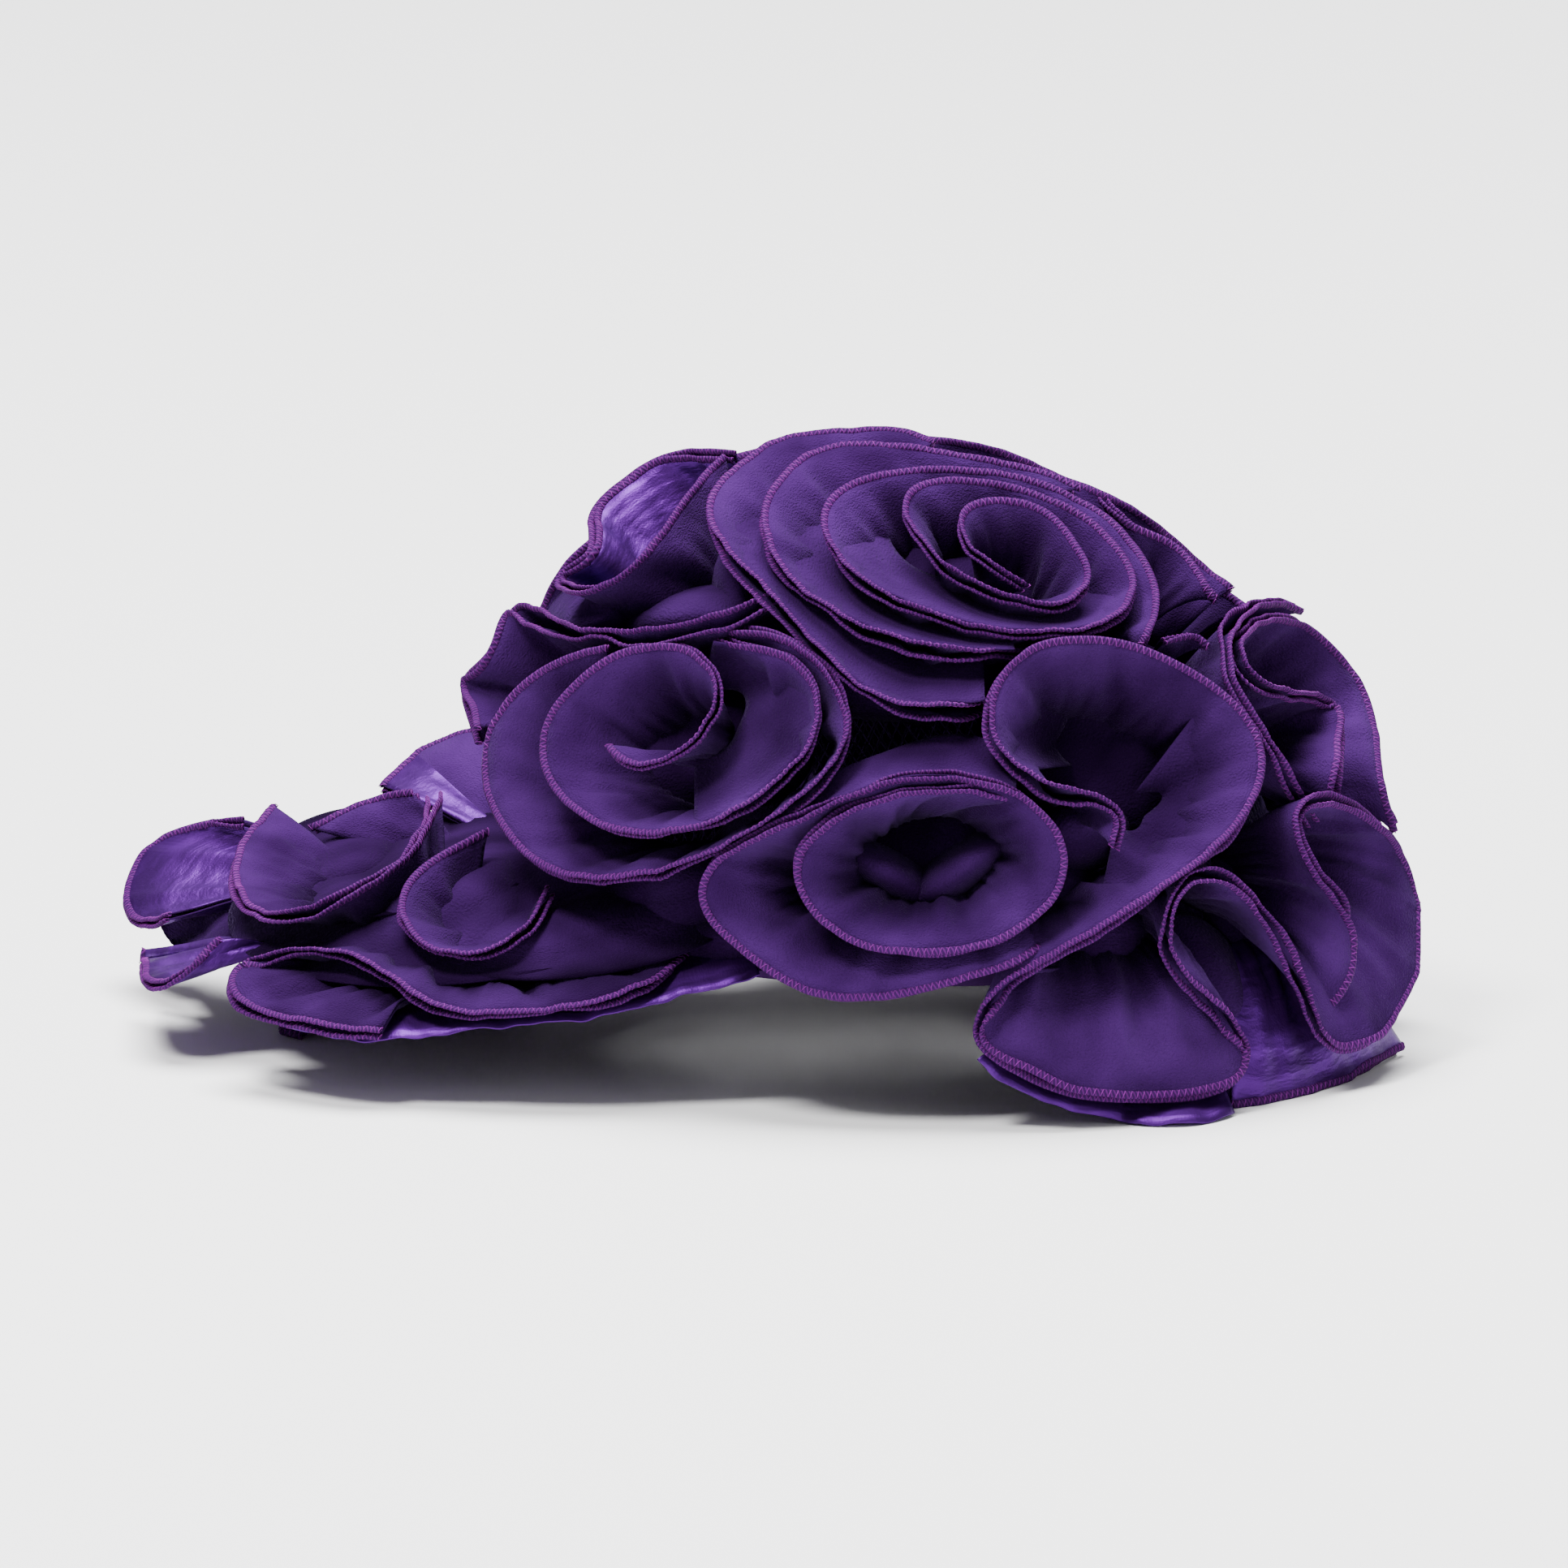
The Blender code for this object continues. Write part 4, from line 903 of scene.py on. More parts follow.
def satin_slots(reached, stretches, outward, rows):
    """Material slots of a layer's faces: 1 where its outer side is satin, otherwise 0."""
    sections = len(reached)
    shine = np.zeros(sections, bool)
    for first, last, where in stretches:
        if where == outward:
            shine |= (reached >= first) & (reached <= last)
    side = (sections - 1) * (rows - 1)
    slots = np.zeros(2 * side + 2 * (sections - 1) + 2 * (rows - 1), int)
    start = 0 if outward > 0 else side
    slots[start:start + side] = np.repeat(shine[:-1], rows - 1)
    return slots


def make_cloth(name, front, second, reached, along, side, stretches):
    """Both layers of a ruffle as one object of two thin closed sheets."""
    points, faces, slots, cloth = [], [], [], []
    for grid, outward in ((front, -side), (second, side)):
        sections, rows = grid.shape[:2]
        rise = np.concatenate([np.zeros((sections, 1)), np.cumsum(
            np.linalg.norm(np.diff(grid, axis=1), axis=2), axis=1)], axis=1)
        run = np.repeat(along[:, None], rows, axis=1)
        # The rise from the seam is the height that the crepe's painted seam shade reads
        flat = np.stack([run, rise, rise[:, -1:] - rise], axis=2)
        points.append(thicken(grid).reshape(-1, 3) * MM)
        cloth.append(np.tile(flat.reshape(-1, 3), (2, 1)) * MM)
        faces.append(sheet_faces(sections, rows, 2 * sections * rows * len(faces)))
        slots.append(satin_slots(reached, stretches, outward, rows))
    paint = cap_materials()
    return make_mesh(name, np.concatenate(points), np.concatenate(faces),
                     [paint["crepe"], paint["satin"]], np.concatenate(slots), np.concatenate(cloth))


def tube(line, across, width, depth):
    """A flattened tube along a line, closed at its ends, in mm."""
    go = unit(np.gradient(line, axis=0))
    across = unit(across - (across * go).sum(axis=1, keepdims=True) * go)
    out = np.cross(go, across)
    turn = np.arange(HEM_SIDES) * (2 * math.pi / HEM_SIDES)
    ring = (line[:, None] + across[:, None] * (width * 0.5 * np.cos(turn))[None, :, None]
            + out[:, None] * (depth * 0.5 * np.sin(turn))[None, :, None])
    ends = []
    for start in (0, (len(line) - 1) * HEM_SIDES):
        for k in range(0, HEM_SIDES - 2, 2):
            quad = [start, start + k + 1, start + k + 2, start + (k + 3) % HEM_SIDES]
            ends.append(quad[::-1] if start == 0 else quad)
    return ring.reshape(-1, 3), np.concatenate([tube_faces(len(line), HEM_SIDES), np.array(ends)])


def new_tree(name, inputs, table, wires):
    """Geometry nodes from named inputs, types with their settings and values, and links."""
    tree = bpy.data.node_groups.new(name, "GeometryNodeTree")
    for label, kind, way in (("Geometry", "Geometry", "INPUT"),
                             *((label, kind, "INPUT") for label, kind in inputs),
                             ("Geometry", "Geometry", "OUTPUT")):
        tree.interface.new_socket(label, in_out=way, socket_type="NodeSocket" + kind)
    nodes = {}
    for short, row in table.items():
        kind, settings, values = (row, {}, {}) if isinstance(row, str) else row
        nodes[short] = node = tree.nodes.new(kind)
        for key, value in settings.items():
            setattr(node, key, value)
        for key, value in values.items():
            node.inputs[key].default_value = value
    for wire in wires:
        (start, out), (end, into) = (place.split(".") for place in wire.split(" > "))
        tree.links.new(nodes[start].outputs[out], nodes[end].inputs[into])
    return tree


def stitch_tree():
    """Geometry nodes that wind one slanted stitch after another around a hem."""
    return new_tree("hem_stitches", (
        ("Spacing", "Float"), ("Width", "Float"), ("Depth", "Float"), ("Thread", "Float"),
        ("Slant", "Float"), ("Material", "Material"),
    ), {
        "given": "NodeGroupInput",
        "path": "GeometryNodeMeshToCurve",
        "even": ("GeometryNodeResampleCurve", {"mode": "LENGTH"}, {}),
        "ring": ("GeometryNodeCurvePrimitiveCircle", {}, {"Resolution": 6, "Radius": 1.0}),
        "scale": ("ShaderNodeCombineXYZ", {}, {"Z": 1.0}),
        "slant": "ShaderNodeCombineXYZ",
        "shape": "GeometryNodeTransform",
        "lean": "GeometryNodeTransform",
        "profile": ("GeometryNodeCurvePrimitiveCircle", {}, {"Resolution": THREAD_SIDES}),
        "wrap": "GeometryNodeCurveToMesh",
        "tangent": "GeometryNodeInputTangent",
        "across": ("GeometryNodeInputNamedAttribute", {"data_type": "FLOAT_VECTOR"},
                   {"Name": "across"}),
        "point": ("FunctionNodeAlignRotationToVector", {"axis": "Z"}, {}),
        "roll": ("FunctionNodeAlignRotationToVector", {"axis": "X", "pivot_axis": "Z"}, {}),
        "place": "GeometryNodeInstanceOnPoints",
        "real": "GeometryNodeRealizeInstances",
        "smooth": "GeometryNodeSetShadeSmooth",
        "paint": "GeometryNodeSetMaterial",
        "result": "NodeGroupOutput",
    }, (
        "given.Geometry > path.Mesh", "path.Curve > even.Curve", "given.Spacing > even.Length",
        "given.Width > scale.X", "given.Depth > scale.Y", "ring.Curve > shape.Geometry",
        "scale.Vector > shape.Scale", "given.Slant > slant.Y", "shape.Geometry > lean.Geometry",
        "slant.Vector > lean.Rotation", "given.Thread > profile.Radius",
        "lean.Geometry > wrap.Curve", "profile.Curve > wrap.Profile Curve",
        "tangent.Tangent > point.Vector", "point.Rotation > roll.Rotation",
        "across.Attribute > roll.Vector", "even.Curve > place.Points",
        "wrap.Mesh > place.Instance", "roll.Rotation > place.Rotation",
        "place.Instances > real.Geometry", "real.Geometry > smooth.Geometry",
        "smooth.Geometry > paint.Geometry", "given.Material > paint.Material",
        "paint.Geometry > result.Geometry",
    ))


def net_tree():
    """Geometry nodes that turn every edge of a mesh into a thread."""
    return new_tree("net_threads", (("Thread", "Float"), ("Material", "Material")), {
        "given": "NodeGroupInput",
        "path": "GeometryNodeMeshToCurve",
        "profile": ("GeometryNodeCurvePrimitiveCircle", {}, {"Resolution": THREAD_SIDES}),
        "sweep": ("GeometryNodeCurveToMesh", {}, {"Fill Caps": True}),
        "real": "GeometryNodeRealizeInstances",
        "paint": "GeometryNodeSetMaterial",
        "result": "NodeGroupOutput",
    }, (
        "given.Geometry > path.Mesh", "path.Curve > sweep.Curve",
        "given.Thread > profile.Radius", "profile.Curve > sweep.Profile Curve",
        "sweep.Mesh > real.Geometry", "real.Geometry > paint.Geometry",
        "given.Material > paint.Material", "paint.Geometry > result.Geometry",
    ))


def grown(name, points, edges, tree, values, across=None):
    """The plain mesh object that a node tree makes of a net of edges, its inputs set by name."""
    mesh = bpy.data.meshes.new(name + "_path")
    mesh.from_pydata(points.tolist(), edges, [])
    if across is not None:
        set_vectors(mesh, "across", across)
    holder = linked(name + "_path", mesh)
    modifier = holder.modifiers.new(tree.name, "NODES")
    modifier.node_group = tree
    for item in tree.interface.items_tree:
        if item.item_type == "SOCKET" and item.in_out == "INPUT" and item.name in values:
            modifier[item.identifier] = values[item.name]
    bpy.context.view_layer.update()
    evaluated = holder.evaluated_get(bpy.context.evaluated_depsgraph_get())
    mesh = bpy.data.meshes.new_from_object(evaluated)
    mesh.name = name
    piece = linked(name, mesh)
    bpy.data.objects.remove(holder, do_unlink=True)
    return piece


def make_stitches(name, hems):
    """The thread around the two hems of a ruffle."""
    sizes = bpy.context.scene.cap_sizes
    lines, leans = (np.concatenate(parts) for parts in zip(*hems))
    count = len(lines) // 2
    edges = [(start + k, start + k + 1) for start in (0, count) for k in range(count - 1)]
    tree = bpy.data.node_groups.get("hem_stitches") or stitch_tree()
    thread = grown(name, lines * MM, edges, tree, {
        "Spacing": sizes.stitch_pitch, "Width": sizes.hem_width * 0.5,
        "Depth": sizes.hem_depth * 0.5, "Thread": sizes.thread * 0.5, "Slant": sizes.slant,
        "Material": cap_materials()["thread"]}, leans)
    places = np.empty(len(thread.data.vertices) * 3, np.float32)
    thread.data.vertices.foreach_get("co", places)
    places[2::3] = np.maximum(places[2::3], 0.0)
    thread.data.vertices.foreach_set("co", places)
    return thread


def make_hems(name, along, hems):
    """The rolled hems of a ruffle's two layers as one object."""
    sizes = bpy.context.scene.cap_sizes
    width = sizes.hem_width / MM
    swing = np.cos(np.arange(HEM_SIDES) * (2 * math.pi / HEM_SIDES)) * width * 0.5
    around = np.stack([np.repeat(along, HEM_SIDES), np.tile(swing, len(along)),
                       np.zeros(len(along) * HEM_SIDES)], axis=1)
    points, faces = [], []
    for line, lean in hems:
        ring, quads = tube(line, lean, width, sizes.hem_depth / MM)
        faces.append(quads + len(ring) * len(points))
        points.append(keep_above(ring, HEM_ABOVE_FLOOR) * MM)
    return make_mesh(name, np.concatenate(points), np.concatenate(faces),
                     [cap_materials()["hem"]], None, np.tile(around, (2, 1)) * MM)


def make_ruffle(name, lines, straight, seed, side, part, stretches, tuck=(0, 0)):
    """One ruffle: its two layers, their hems and the thread around them."""
    sizes = bpy.context.scene.cap_sizes
    shift = shift_to_frame()
    lines = (lines[0] + shift, lines[1] + shift, *lines[2:])
    front, second, reached, along = layer_grids(lines, straight, sizes, seed, side, part, tuck)
    cloth = make_cloth(name + "_cloth", front, second, reached, along, side, stretches)
    width = sizes.hem_width / MM
    hems = []
    for grid in (front, second):
        lean = unit(grid[:, -1] - grid[:, -2])
        hems.append((keep_above(grid[:, -1] - lean * width * HEM_INSET, width * 0.5), lean))
    hem = make_hems(name + "_hem", along, hems)
    thread = make_stitches(name + "_thread", hems)
    for piece in (cloth, hem, thread):
        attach(piece, "root")
    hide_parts(name)


def carried(where, board, stand, setback, shrink):
    """A grid of board points at their own stands, in mm, and the flat points it came from."""
    flat = board.reshape(-1, 2)
    if shrink:
        flat = right_side(flat, shrink)
    points = meet_surface(SEWN_ON[where][0], flat, stand.ravel(), setback)
    if shrink:
        points[:, 1] *= -1
    return (points + shift_to_frame()).reshape(*stand.shape, 3), flat


def add_sheet(name, grid, across, upward, back, paint="crepe"):
    """A thin closed sheet of cloth around a grid in mm, and its area in square metres."""
    flat = np.stack([across.ravel(), upward.ravel(), back.ravel()], axis=1)
    piece = make_mesh(name, thicken(grid).reshape(-1, 3) * MM, sheet_faces(*grid.shape[:2]),
                      [cap_materials()[paint]], None, np.tile(flat, (2, 1)) * MM)
    face_outwards(piece)
    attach(piece, "root")
    return piece, sheet_area(grid) * MM * MM


def make_bunch(name, row, seed, shrink=None):
    """Cloth bunched up inside a loop: a thin sheet with folds that run in to its middle."""
    where, x, height, long, short, turned, edge, middle, folds, lift, setback, _ = row
    u, v = np.meshgrid(*(np.linspace(-1, 1, count) for count in BUNCH_GRID), indexing="ij")
    across = long * u * np.sqrt(1 - 0.5 * v ** 2)
    upward = short * v * np.sqrt(1 - 0.5 * u ** 2)
    cosine, sine = heading(turned)
    board = np.stack([x + across * cosine - upward * sine,
                      height + across * sine + upward * cosine], axis=2)
    bulge = np.zeros_like(u)
    for number in range(folds):
        cosine, sine = heading(math.degrees(2.4 * number + 1.3 * seed))
        way = across * cosine + upward * sine
        side = upward * cosine - across * sine
        bow = BUNCH_BOW * np.sin(side / BUNCH_BOW_LENGTH + 1.7 * number + seed)
        spacing = BUNCH_SPACING + BUNCH_SPREAD * math.sin(seed + 3 * number)
        wave = np.abs(np.sin((way + bow) * math.pi / spacing))
        bulge += (wave ** 0.7 - 0.7) / (1 + 1.2 * number)
    reach = np.clip(np.hypot(across / long, upward / short), 0.0, 1.0)
    level = (middle + (edge - middle) * reach ** 2.2) * SEWN_ON[where][2]
    stand = np.maximum(level + lift * bulge * (1.0 - 0.75 * reach ** 3), LEAST_STAND)
    grid, flat = carried(where, board, stand, setback, shrink)
    # The stand is passed as the height above a seam, so the crepe's painted seam shade darkens a
    # bunch more the nearer it lies to what it is sewn to
    piece, area = add_sheet(name, grid, flat[:, 0], stand * 1.3, flat[:, 1])


def make_slope(name, row, seed, shrink=None):
    """Cloth that slopes from a hem in to the middle of its loop, with folds that run inwards."""
    ruffle, first, last, x, height, reach, end, folds, lift = row
    table, where = LEFT_RUFFLES[ruffle][:2]
    traced, reached = soft_hem(table)
    hem = traced[(reached >= first) & (reached <= last)][::2]
    u = np.linspace(0.0, 1.0, len(hem))[:, None]
    v = np.linspace(SLOPE_START, 1.0, SLOPE_ROWS)[None, :]
    ragged = reach * (0.90 + 0.10 * np.sin(4.1 * u + seed) * np.sin(9.7 * u + 2 * seed))
    board = hem[:, None] + ((x, height) - hem[:, None]) * (ragged * v)[..., None]
    sway = 0.8 * np.sin(2.2 * v + seed) + 0.9 * np.sin(5.3 * u + 1.7 * seed)
    ridge = np.abs(np.sin(math.pi * folds * u + sway)) ** 0.8 - 0.6
    sides = np.minimum(1.0, 9 * u * (1 - u)) ** 0.7
    level = SLOPE_LEVEL + (end - SLOPE_LEVEL) * v ** 0.8
    stand = level * SEWN_ON[where][2] + lift * ridge * v ** 0.7 * sides
    grid, flat = carried(where, board, np.maximum(stand, LEAST_STAND), SLOPE_SETBACK, shrink)
    # The stand is passed as the height above a seam, so the crepe's painted seam shade darkens a
    # slope more the nearer it lies to what it is sewn to
    piece, area = add_sheet(name, grid, flat[:, 0], stand, flat[:, 1])


def make_strip(name, row, seed):
    """A narrow strip of the cloth's satin side below a hem."""
    folds, where, width, setback = row
    value, _, stand = SEWN_ON[where][:3]
    traced, _ = trace_hem(folds)
    inner = traced + unit(np.gradient(traced, axis=0))[:, ::-1] * (-width, width)
    hem = meet_surface(value, traced, stand, setback)
    sewn = meet_surface(value, inner, stand, setback) + back_by(width)
    cosine, sine = board_axes()
    lowest = STRIP_FLOOR - shift_to_frame()[2]
    for line in (hem, sewn):
        sunk = np.maximum(lowest - line[:, 2], 0.0)
        line[:, 2] += sunk
        line[:, 1] -= sunk * cosine / sine
    u = np.linspace(0.0, 1.0, STRIP_ROWS)[None, :, None]
    grid = sewn[:, None] * (1 - u) + hem[:, None] * u
    wave = 0.6 * wander(np.arange(len(hem)), 19, seed)[:, None] * u[..., 0]
    grid = grid + face_of(grid) * wave[..., None] + shift_to_frame()
    along, upward = np.meshgrid(np.arange(len(hem)), np.linspace(10, 30, STRIP_ROWS), indexing="ij")
    piece, area = add_sheet(name, grid, along, upward, 0 * upward, "satin")


def left_and_right(name, seed):
    """One named ruffle of the left side, and the right side's if it has one."""
    folds, where, share, gather, setback, side, part, stretches = LEFT_RUFFLES[name]
    tuck = TUCKS.get(name, (0, 0))
    straight = SEWN_ON[where][2] * SEWN_ON[where][3] * share
    lines = ruffle_lines(folds, where, share, gather, setback)
    make_ruffle(name, lines, straight, seed, side, part, stretches, tuck)
    if name in RIGHT_RUFFLES:
        lines = ruffle_lines(folds, where, share, gather, setback, RIGHT_RUFFLES[name])
        turned = tuple((first, last, -facing) for first, last, facing in stretches)
        make_ruffle(name + "_right", lines, straight, seed + RIGHT_RUFFLE_SEED, -side, part, turned,
                    tuck)


def make_named(prefix):
    """The ruffles of both sides whose names begin alike."""
    for seed, name in enumerate(LEFT_RUFFLES):
        if name.startswith(prefix):
            left_and_right(name, seed + 1)


def opaque(colour, share=1.0):
    """A colour made darker or paler, with its alpha."""
    return (*(min(1.0, part * share) for part in colour), 1.0)


class Paint:
    """A new material and its nodes"""

    def __init__(self, name):
        self.material = bpy.data.materials.new(name)
        self.material.use_nodes = True

    def give(self, node, inputs):
        """Sets a node's inputs to values, or links them to other nodes' outputs."""
        for key, value in inputs.items():
            if isinstance(value, bpy.types.NodeSocket):
                self.material.node_tree.links.new(value, node.inputs[key])
            else:
                node.inputs[key].default_value = value

    def add(self, kind, output, inputs, **settings):
        """An output of a new node."""
        node = self.material.node_tree.nodes.new("ShaderNode" + kind)
        for key, value in settings.items():
            setattr(node, key, value)
        self.give(node, inputs)
        return node.outputs[output]

    def cloth(self):
        """The place on the flat cloth, in metres."""
        return self.add("Attribute", "Vector", {}, attribute_name="cloth")

    def place(self):
        """The place in the scene, in metres."""
        return self.add("TexCoord", "Object", {})

    def mapped(self, vector, **change):
        """A place stretched or turned."""
        return self.add("Mapping", "Vector", {"Vector": vector, **change})

    def noise(self, vector, scale, detail=2.0):
        """A noise pattern at a scale per metre."""
        return self.add("TexNoise", "Fac", {"Vector": vector, "Scale": scale, "Detail": detail})

    def bump(self, height, distance, strength=1.0, **under):
        """A bump of a height pattern over a distance in metres."""
        return self.add("Bump", "Normal", {"Height": height, "Distance": distance,
                                           "Strength": strength, **under})

    def mix(self, share, first, second):
        """A mix of two colours."""
        return self.add("Mix", "Result", {"Factor": share, "A": first, "B": second},
                        data_type="RGBA")

    def ramp(self, value, low, high, least=0.0, most=1.0):
        """A value stretched so that low becomes least and high becomes most."""
        return self.add("MapRange", "Result", {
            "Value": value, "From Min": low, "From Max": high, "To Min": least, "To Max": most})

    def surface(self, colour, rough, specular=None, normal=None, **more):
        """The finished material with its surface's looks."""
        inputs = {"Base Color": colour, "Roughness": rough, "Specular IOR Level": specular,
                  "Normal": normal, **more}
        inputs = {key: value for key, value in inputs.items() if value is not None}
        self.give(self.material.node_tree.nodes["Principled BSDF"], inputs)
        return self.material


def crepe_material(paint):
    """The matte side: a fine pebbled weave with soft colour changes and painted shade at its seam.
    """
    colours = bpy.context.scene.cap_colours
    cloth, where = paint.cloth(), paint.place()
    pebble = paint.noise(cloth, 1500.0)
    crinkle = paint.noise(where, 130.0, 3.0)
    patch = paint.ramp(paint.noise(where, 45.0), 0.3, 0.7)
    # Painted shade: by the rise from the seam, made uneven by noise, the crepe is mixed towards its
    # darker colour times SEAM_SHADE near the seam
    height = paint.add("SeparateXYZ", "Y", {"Vector": cloth})
    seam_shade_height = paint.add("Math", "Value", {0: paint.noise(where, 38.0, 1.0), 1: 0.028, 2: height},
                       operation="MULTIPLY_ADD")
    open_cloth = paint.mix(patch, opaque(colours.crepe_deep), opaque(colours.crepe))
    painted_seam_shade = opaque(colours.crepe_deep, SEAM_SHADE)
    normal = paint.bump(pebble, 0.0006, Normal=paint.bump(crinkle, 0.0012, 0.5))
    return paint.surface(
        paint.mix(paint.ramp(seam_shade_height, 0.016, 0.046), painted_seam_shade, open_cloth),
        paint.ramp(pebble, 0.0, 1.0, 0.58, 0.78), 0.0, normal,
        **{"Sheen Weight": 0.05, "Sheen Roughness": 0.4, "Sheen Tint": (0.62, 0.42, 1.0, 1.0)})


def satin_material(paint):
    """The glossy reverse: long floats of thread with broken reflections, and painted highlights in
    paler streaks.
    """
    satin = bpy.context.scene.cap_colours.satin
    cloth = paint.cloth()
    floats = paint.noise(paint.mapped(cloth, Scale=(1.0, 0.25, 1.0)), 1900.0)
    crush_and_highlight = paint.noise(paint.mapped(cloth, Scale=(0.35, 1.0, 1.0)), 120.0, 3.0)
    # Painted highlights: the satin is mixed towards a paler copy of its colour where the stretched
    # crush noise is high
    colour = paint.mix(paint.ramp(crush_and_highlight, 0.48, 0.72), opaque(satin), opaque(satin, SATIN_PAINTED_HIGHLIGHT))
    normal = paint.bump(floats, 0.00012, 0.7, Normal=paint.bump(crush_and_highlight, 0.0016, 0.6))
    return paint.surface(colour, 0.46, 0.05, normal, Metallic=0.85)


def thread_material(paint, colour, rough, scale):
    """Twisted sewing thread."""
    where = paint.place()
    shade = paint.ramp(paint.noise(where, 60.0), 0.3, 0.7)
    return paint.surface(paint.mix(shade, opaque(colour, THREAD_DARK), opaque(colour)), rough,
                         0.06, paint.bump(paint.noise(where, scale), 0.0001, 0.8))


def hem_material(paint):
    """The overlocked hem: cloth with slanted rows of thread between the larger stitches."""
    colours = bpy.context.scene.cap_colours
    sizes = bpy.context.scene.cap_sizes
    rows = paint.add("TexWave", "Fac", {
        "Vector": paint.mapped(paint.cloth(), Rotation=(0.0, 0.0, sizes.slant)),
        "Scale": WAVE_SCALE * 2.0 / sizes.stitch_pitch, "Distortion": 0.6, "Detail": 1.0})
    thin = tuple(0.3 * t + 0.7 * h for t, h in zip(colours.thread, colours.hem))
    colour = paint.mix(paint.ramp(rows, 0.35, 0.9), opaque(colours.hem), opaque(thin))
    return paint.surface(colour, 0.65, 0.03, paint.bump(rows, 0.00025, 0.8))


def cap_materials():
    """The cap's materials by name, made once."""
    colours = bpy.context.scene.cap_colours
    makers = {
        "crepe": ("crepe_matte", crepe_material),
        "satin": ("crepe_satin", satin_material),
        "hem": ("hem_cloth", hem_material),
        "band": ("band_cloth", lambda paint: thread_material(paint, colours.hem, 0.7, 1500.0)),
        "thread": ("hem_thread", lambda paint: thread_material(paint, colours.thread, 0.5, 2500.0)),
        "net": ("net_thread", lambda paint: thread_material(paint, colours.net, 0.75, 2500.0)),
    }
    return {key: bpy.data.materials.get(name) or make(Paint(name))
            for key, (name, make) in makers.items()}


def crown_points(turn, rise, inset):
    """Points of the crown's surface moved inwards, by compass angle and rise angle, in metres."""
    up = (CROWN_RISE - inset) * np.sin(rise)
    x = (CROWN_HALF_LENGTH - inset) * np.cos(rise) * np.cos(turn) + CROWN_LEAN * up
    y = (CROWN_HALF_WIDTH - inset) * np.cos(rise) * np.sin(turn)
    points = np.stack(np.broadcast_arrays(x, y, RIM_HEIGHT + up), axis=-1)
    return (points + shift_to_frame()).reshape(-1, 3) * MM


def make_net():
    """The open net of the crown."""
    sizes = bpy.context.scene.cap_sizes
    girth = math.pi * (CROWN_HALF_LENGTH + CROWN_HALF_WIDTH)
    count = int(girth / (sizes.net_cell / MM))
    rings = int(count * NET_RINGS)
    i, k = np.meshgrid(np.arange(rings + 1), np.arange(count), indexing="ij")
    turn = 2 * math.pi * (k + 0.5 * (i % 2)) / count
    points = crown_points(turn, np.radians(NET_START + NET_REACH * i / rings), NET_INSET)
    here, above = i * count + k, (i + 1) * count
    beside = (k + np.where(i % 2, 1, -1)) % count
    edges = np.stack([here, above + k, here, above + beside], axis=2)[:-1].reshape(-1, 2)
    return grown("crown_net_mesh", points, edges.tolist(), net_tree(), {
        "Thread": sizes.net_thread * 0.5, "Material": cap_materials()["net"]})


def make_rim_band():
    """The bound rim: a soft-edged band around the crown's opening."""
    angle = np.arange(BAND_SIDES) * (2 * math.pi / BAND_SIDES)
    wide, high = np.cos(angle), np.sin(angle)
    inset = BAND_HALF_WIDTH * (1 + np.copysign(np.abs(wide) ** 0.6, wide))
    rise = BAND_HALF_HEIGHT * (1 + np.copysign(np.abs(high) ** 0.5, high))
    turn = np.arange(BAND_SECTIONS)[:, None] * (2 * math.pi / BAND_SECTIONS)
    band = make_mesh("rim_band", crown_points(turn, np.arcsin(rise / CROWN_RISE), inset),
                     tube_faces(BAND_SECTIONS, BAND_SIDES, True), [cap_materials()["band"]])
    face_outwards(band)
    return band


def make_peak():
    """The peak: its stiff plate covered in crepe, with a rounded edge."""
    length, width = CROWN_HALF_LENGTH + PEAK_GAP, CROWN_HALF_WIDTH + PEAK_GAP

    def root(y):
        return -length * np.sqrt(1 - (y / width) ** 2)

    tries = width * np.arange(PEAK_TRIES, 0, -1) / PEAK_TRIES
    tries = tries[tries < PEAK_HALF_WIDTH]
    widest = tries[root(tries) - peak_edge_x(tries) > PEAK_LEAST_LENGTH][0]
    y = widest * np.sin(math.pi / 2 * np.linspace(-1.0, 1.0, PEAK_SECTIONS))[:, None]
    up = peak_middle(root(y), y) - RIM_HEIGHT
    back = root(y) * np.sqrt(1 - (up / CROWN_RISE) ** 2) + CROWN_LEAN * up
    reach = np.linspace(0.0, 1.0, PEAK_ROWS)
    x = (back + (peak_edge_x(y) - back) * np.cos(math.pi / 2 * reach))[:, ::-1]
    top = np.stack(np.broadcast_arrays(x, y, peak_middle(x, y)), axis=2)
    worn = (np.maximum(reach - PEAK_EDGE_FROM, 0) * PEAK_EDGE_RATE) ** 2
    half = PEAK_THICKNESS * 0.5 * np.sqrt(np.maximum(1 - worn, 0.04))
    lift = half[:, None] * (0.0, 0.0, 1.0)
    both = np.stack([top + lift, top - lift]) + shift_to_frame()
    # The crepe's painted seam shade reads y here as the height above a seam, so it darkens the
    # cover on the side of low y
    cloth = np.tile((top * (1, 1, 0)).reshape(-1, 3), (2, 1)) * MM
    piece = make_mesh("peak_cover", both.reshape(-1, 3) * MM, sheet_faces(*top.shape[:2]),
                      [cap_materials()["crepe"]], None, cloth)
    face_outwards(piece)
    return piece


class CAP_OT_net(bpy.types.Operator):
    """Make the net crown and its bound rim"""
    bl_idname = "cap.net"
    bl_label = "Net crown"
    bl_options = {"REGISTER", "UNDO"}

    def execute(self, context):
        net = make_net()
        band = make_rim_band()
        for piece in (net, band):
            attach(piece, "root")
        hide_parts("crown_net")
        return {"FINISHED"}


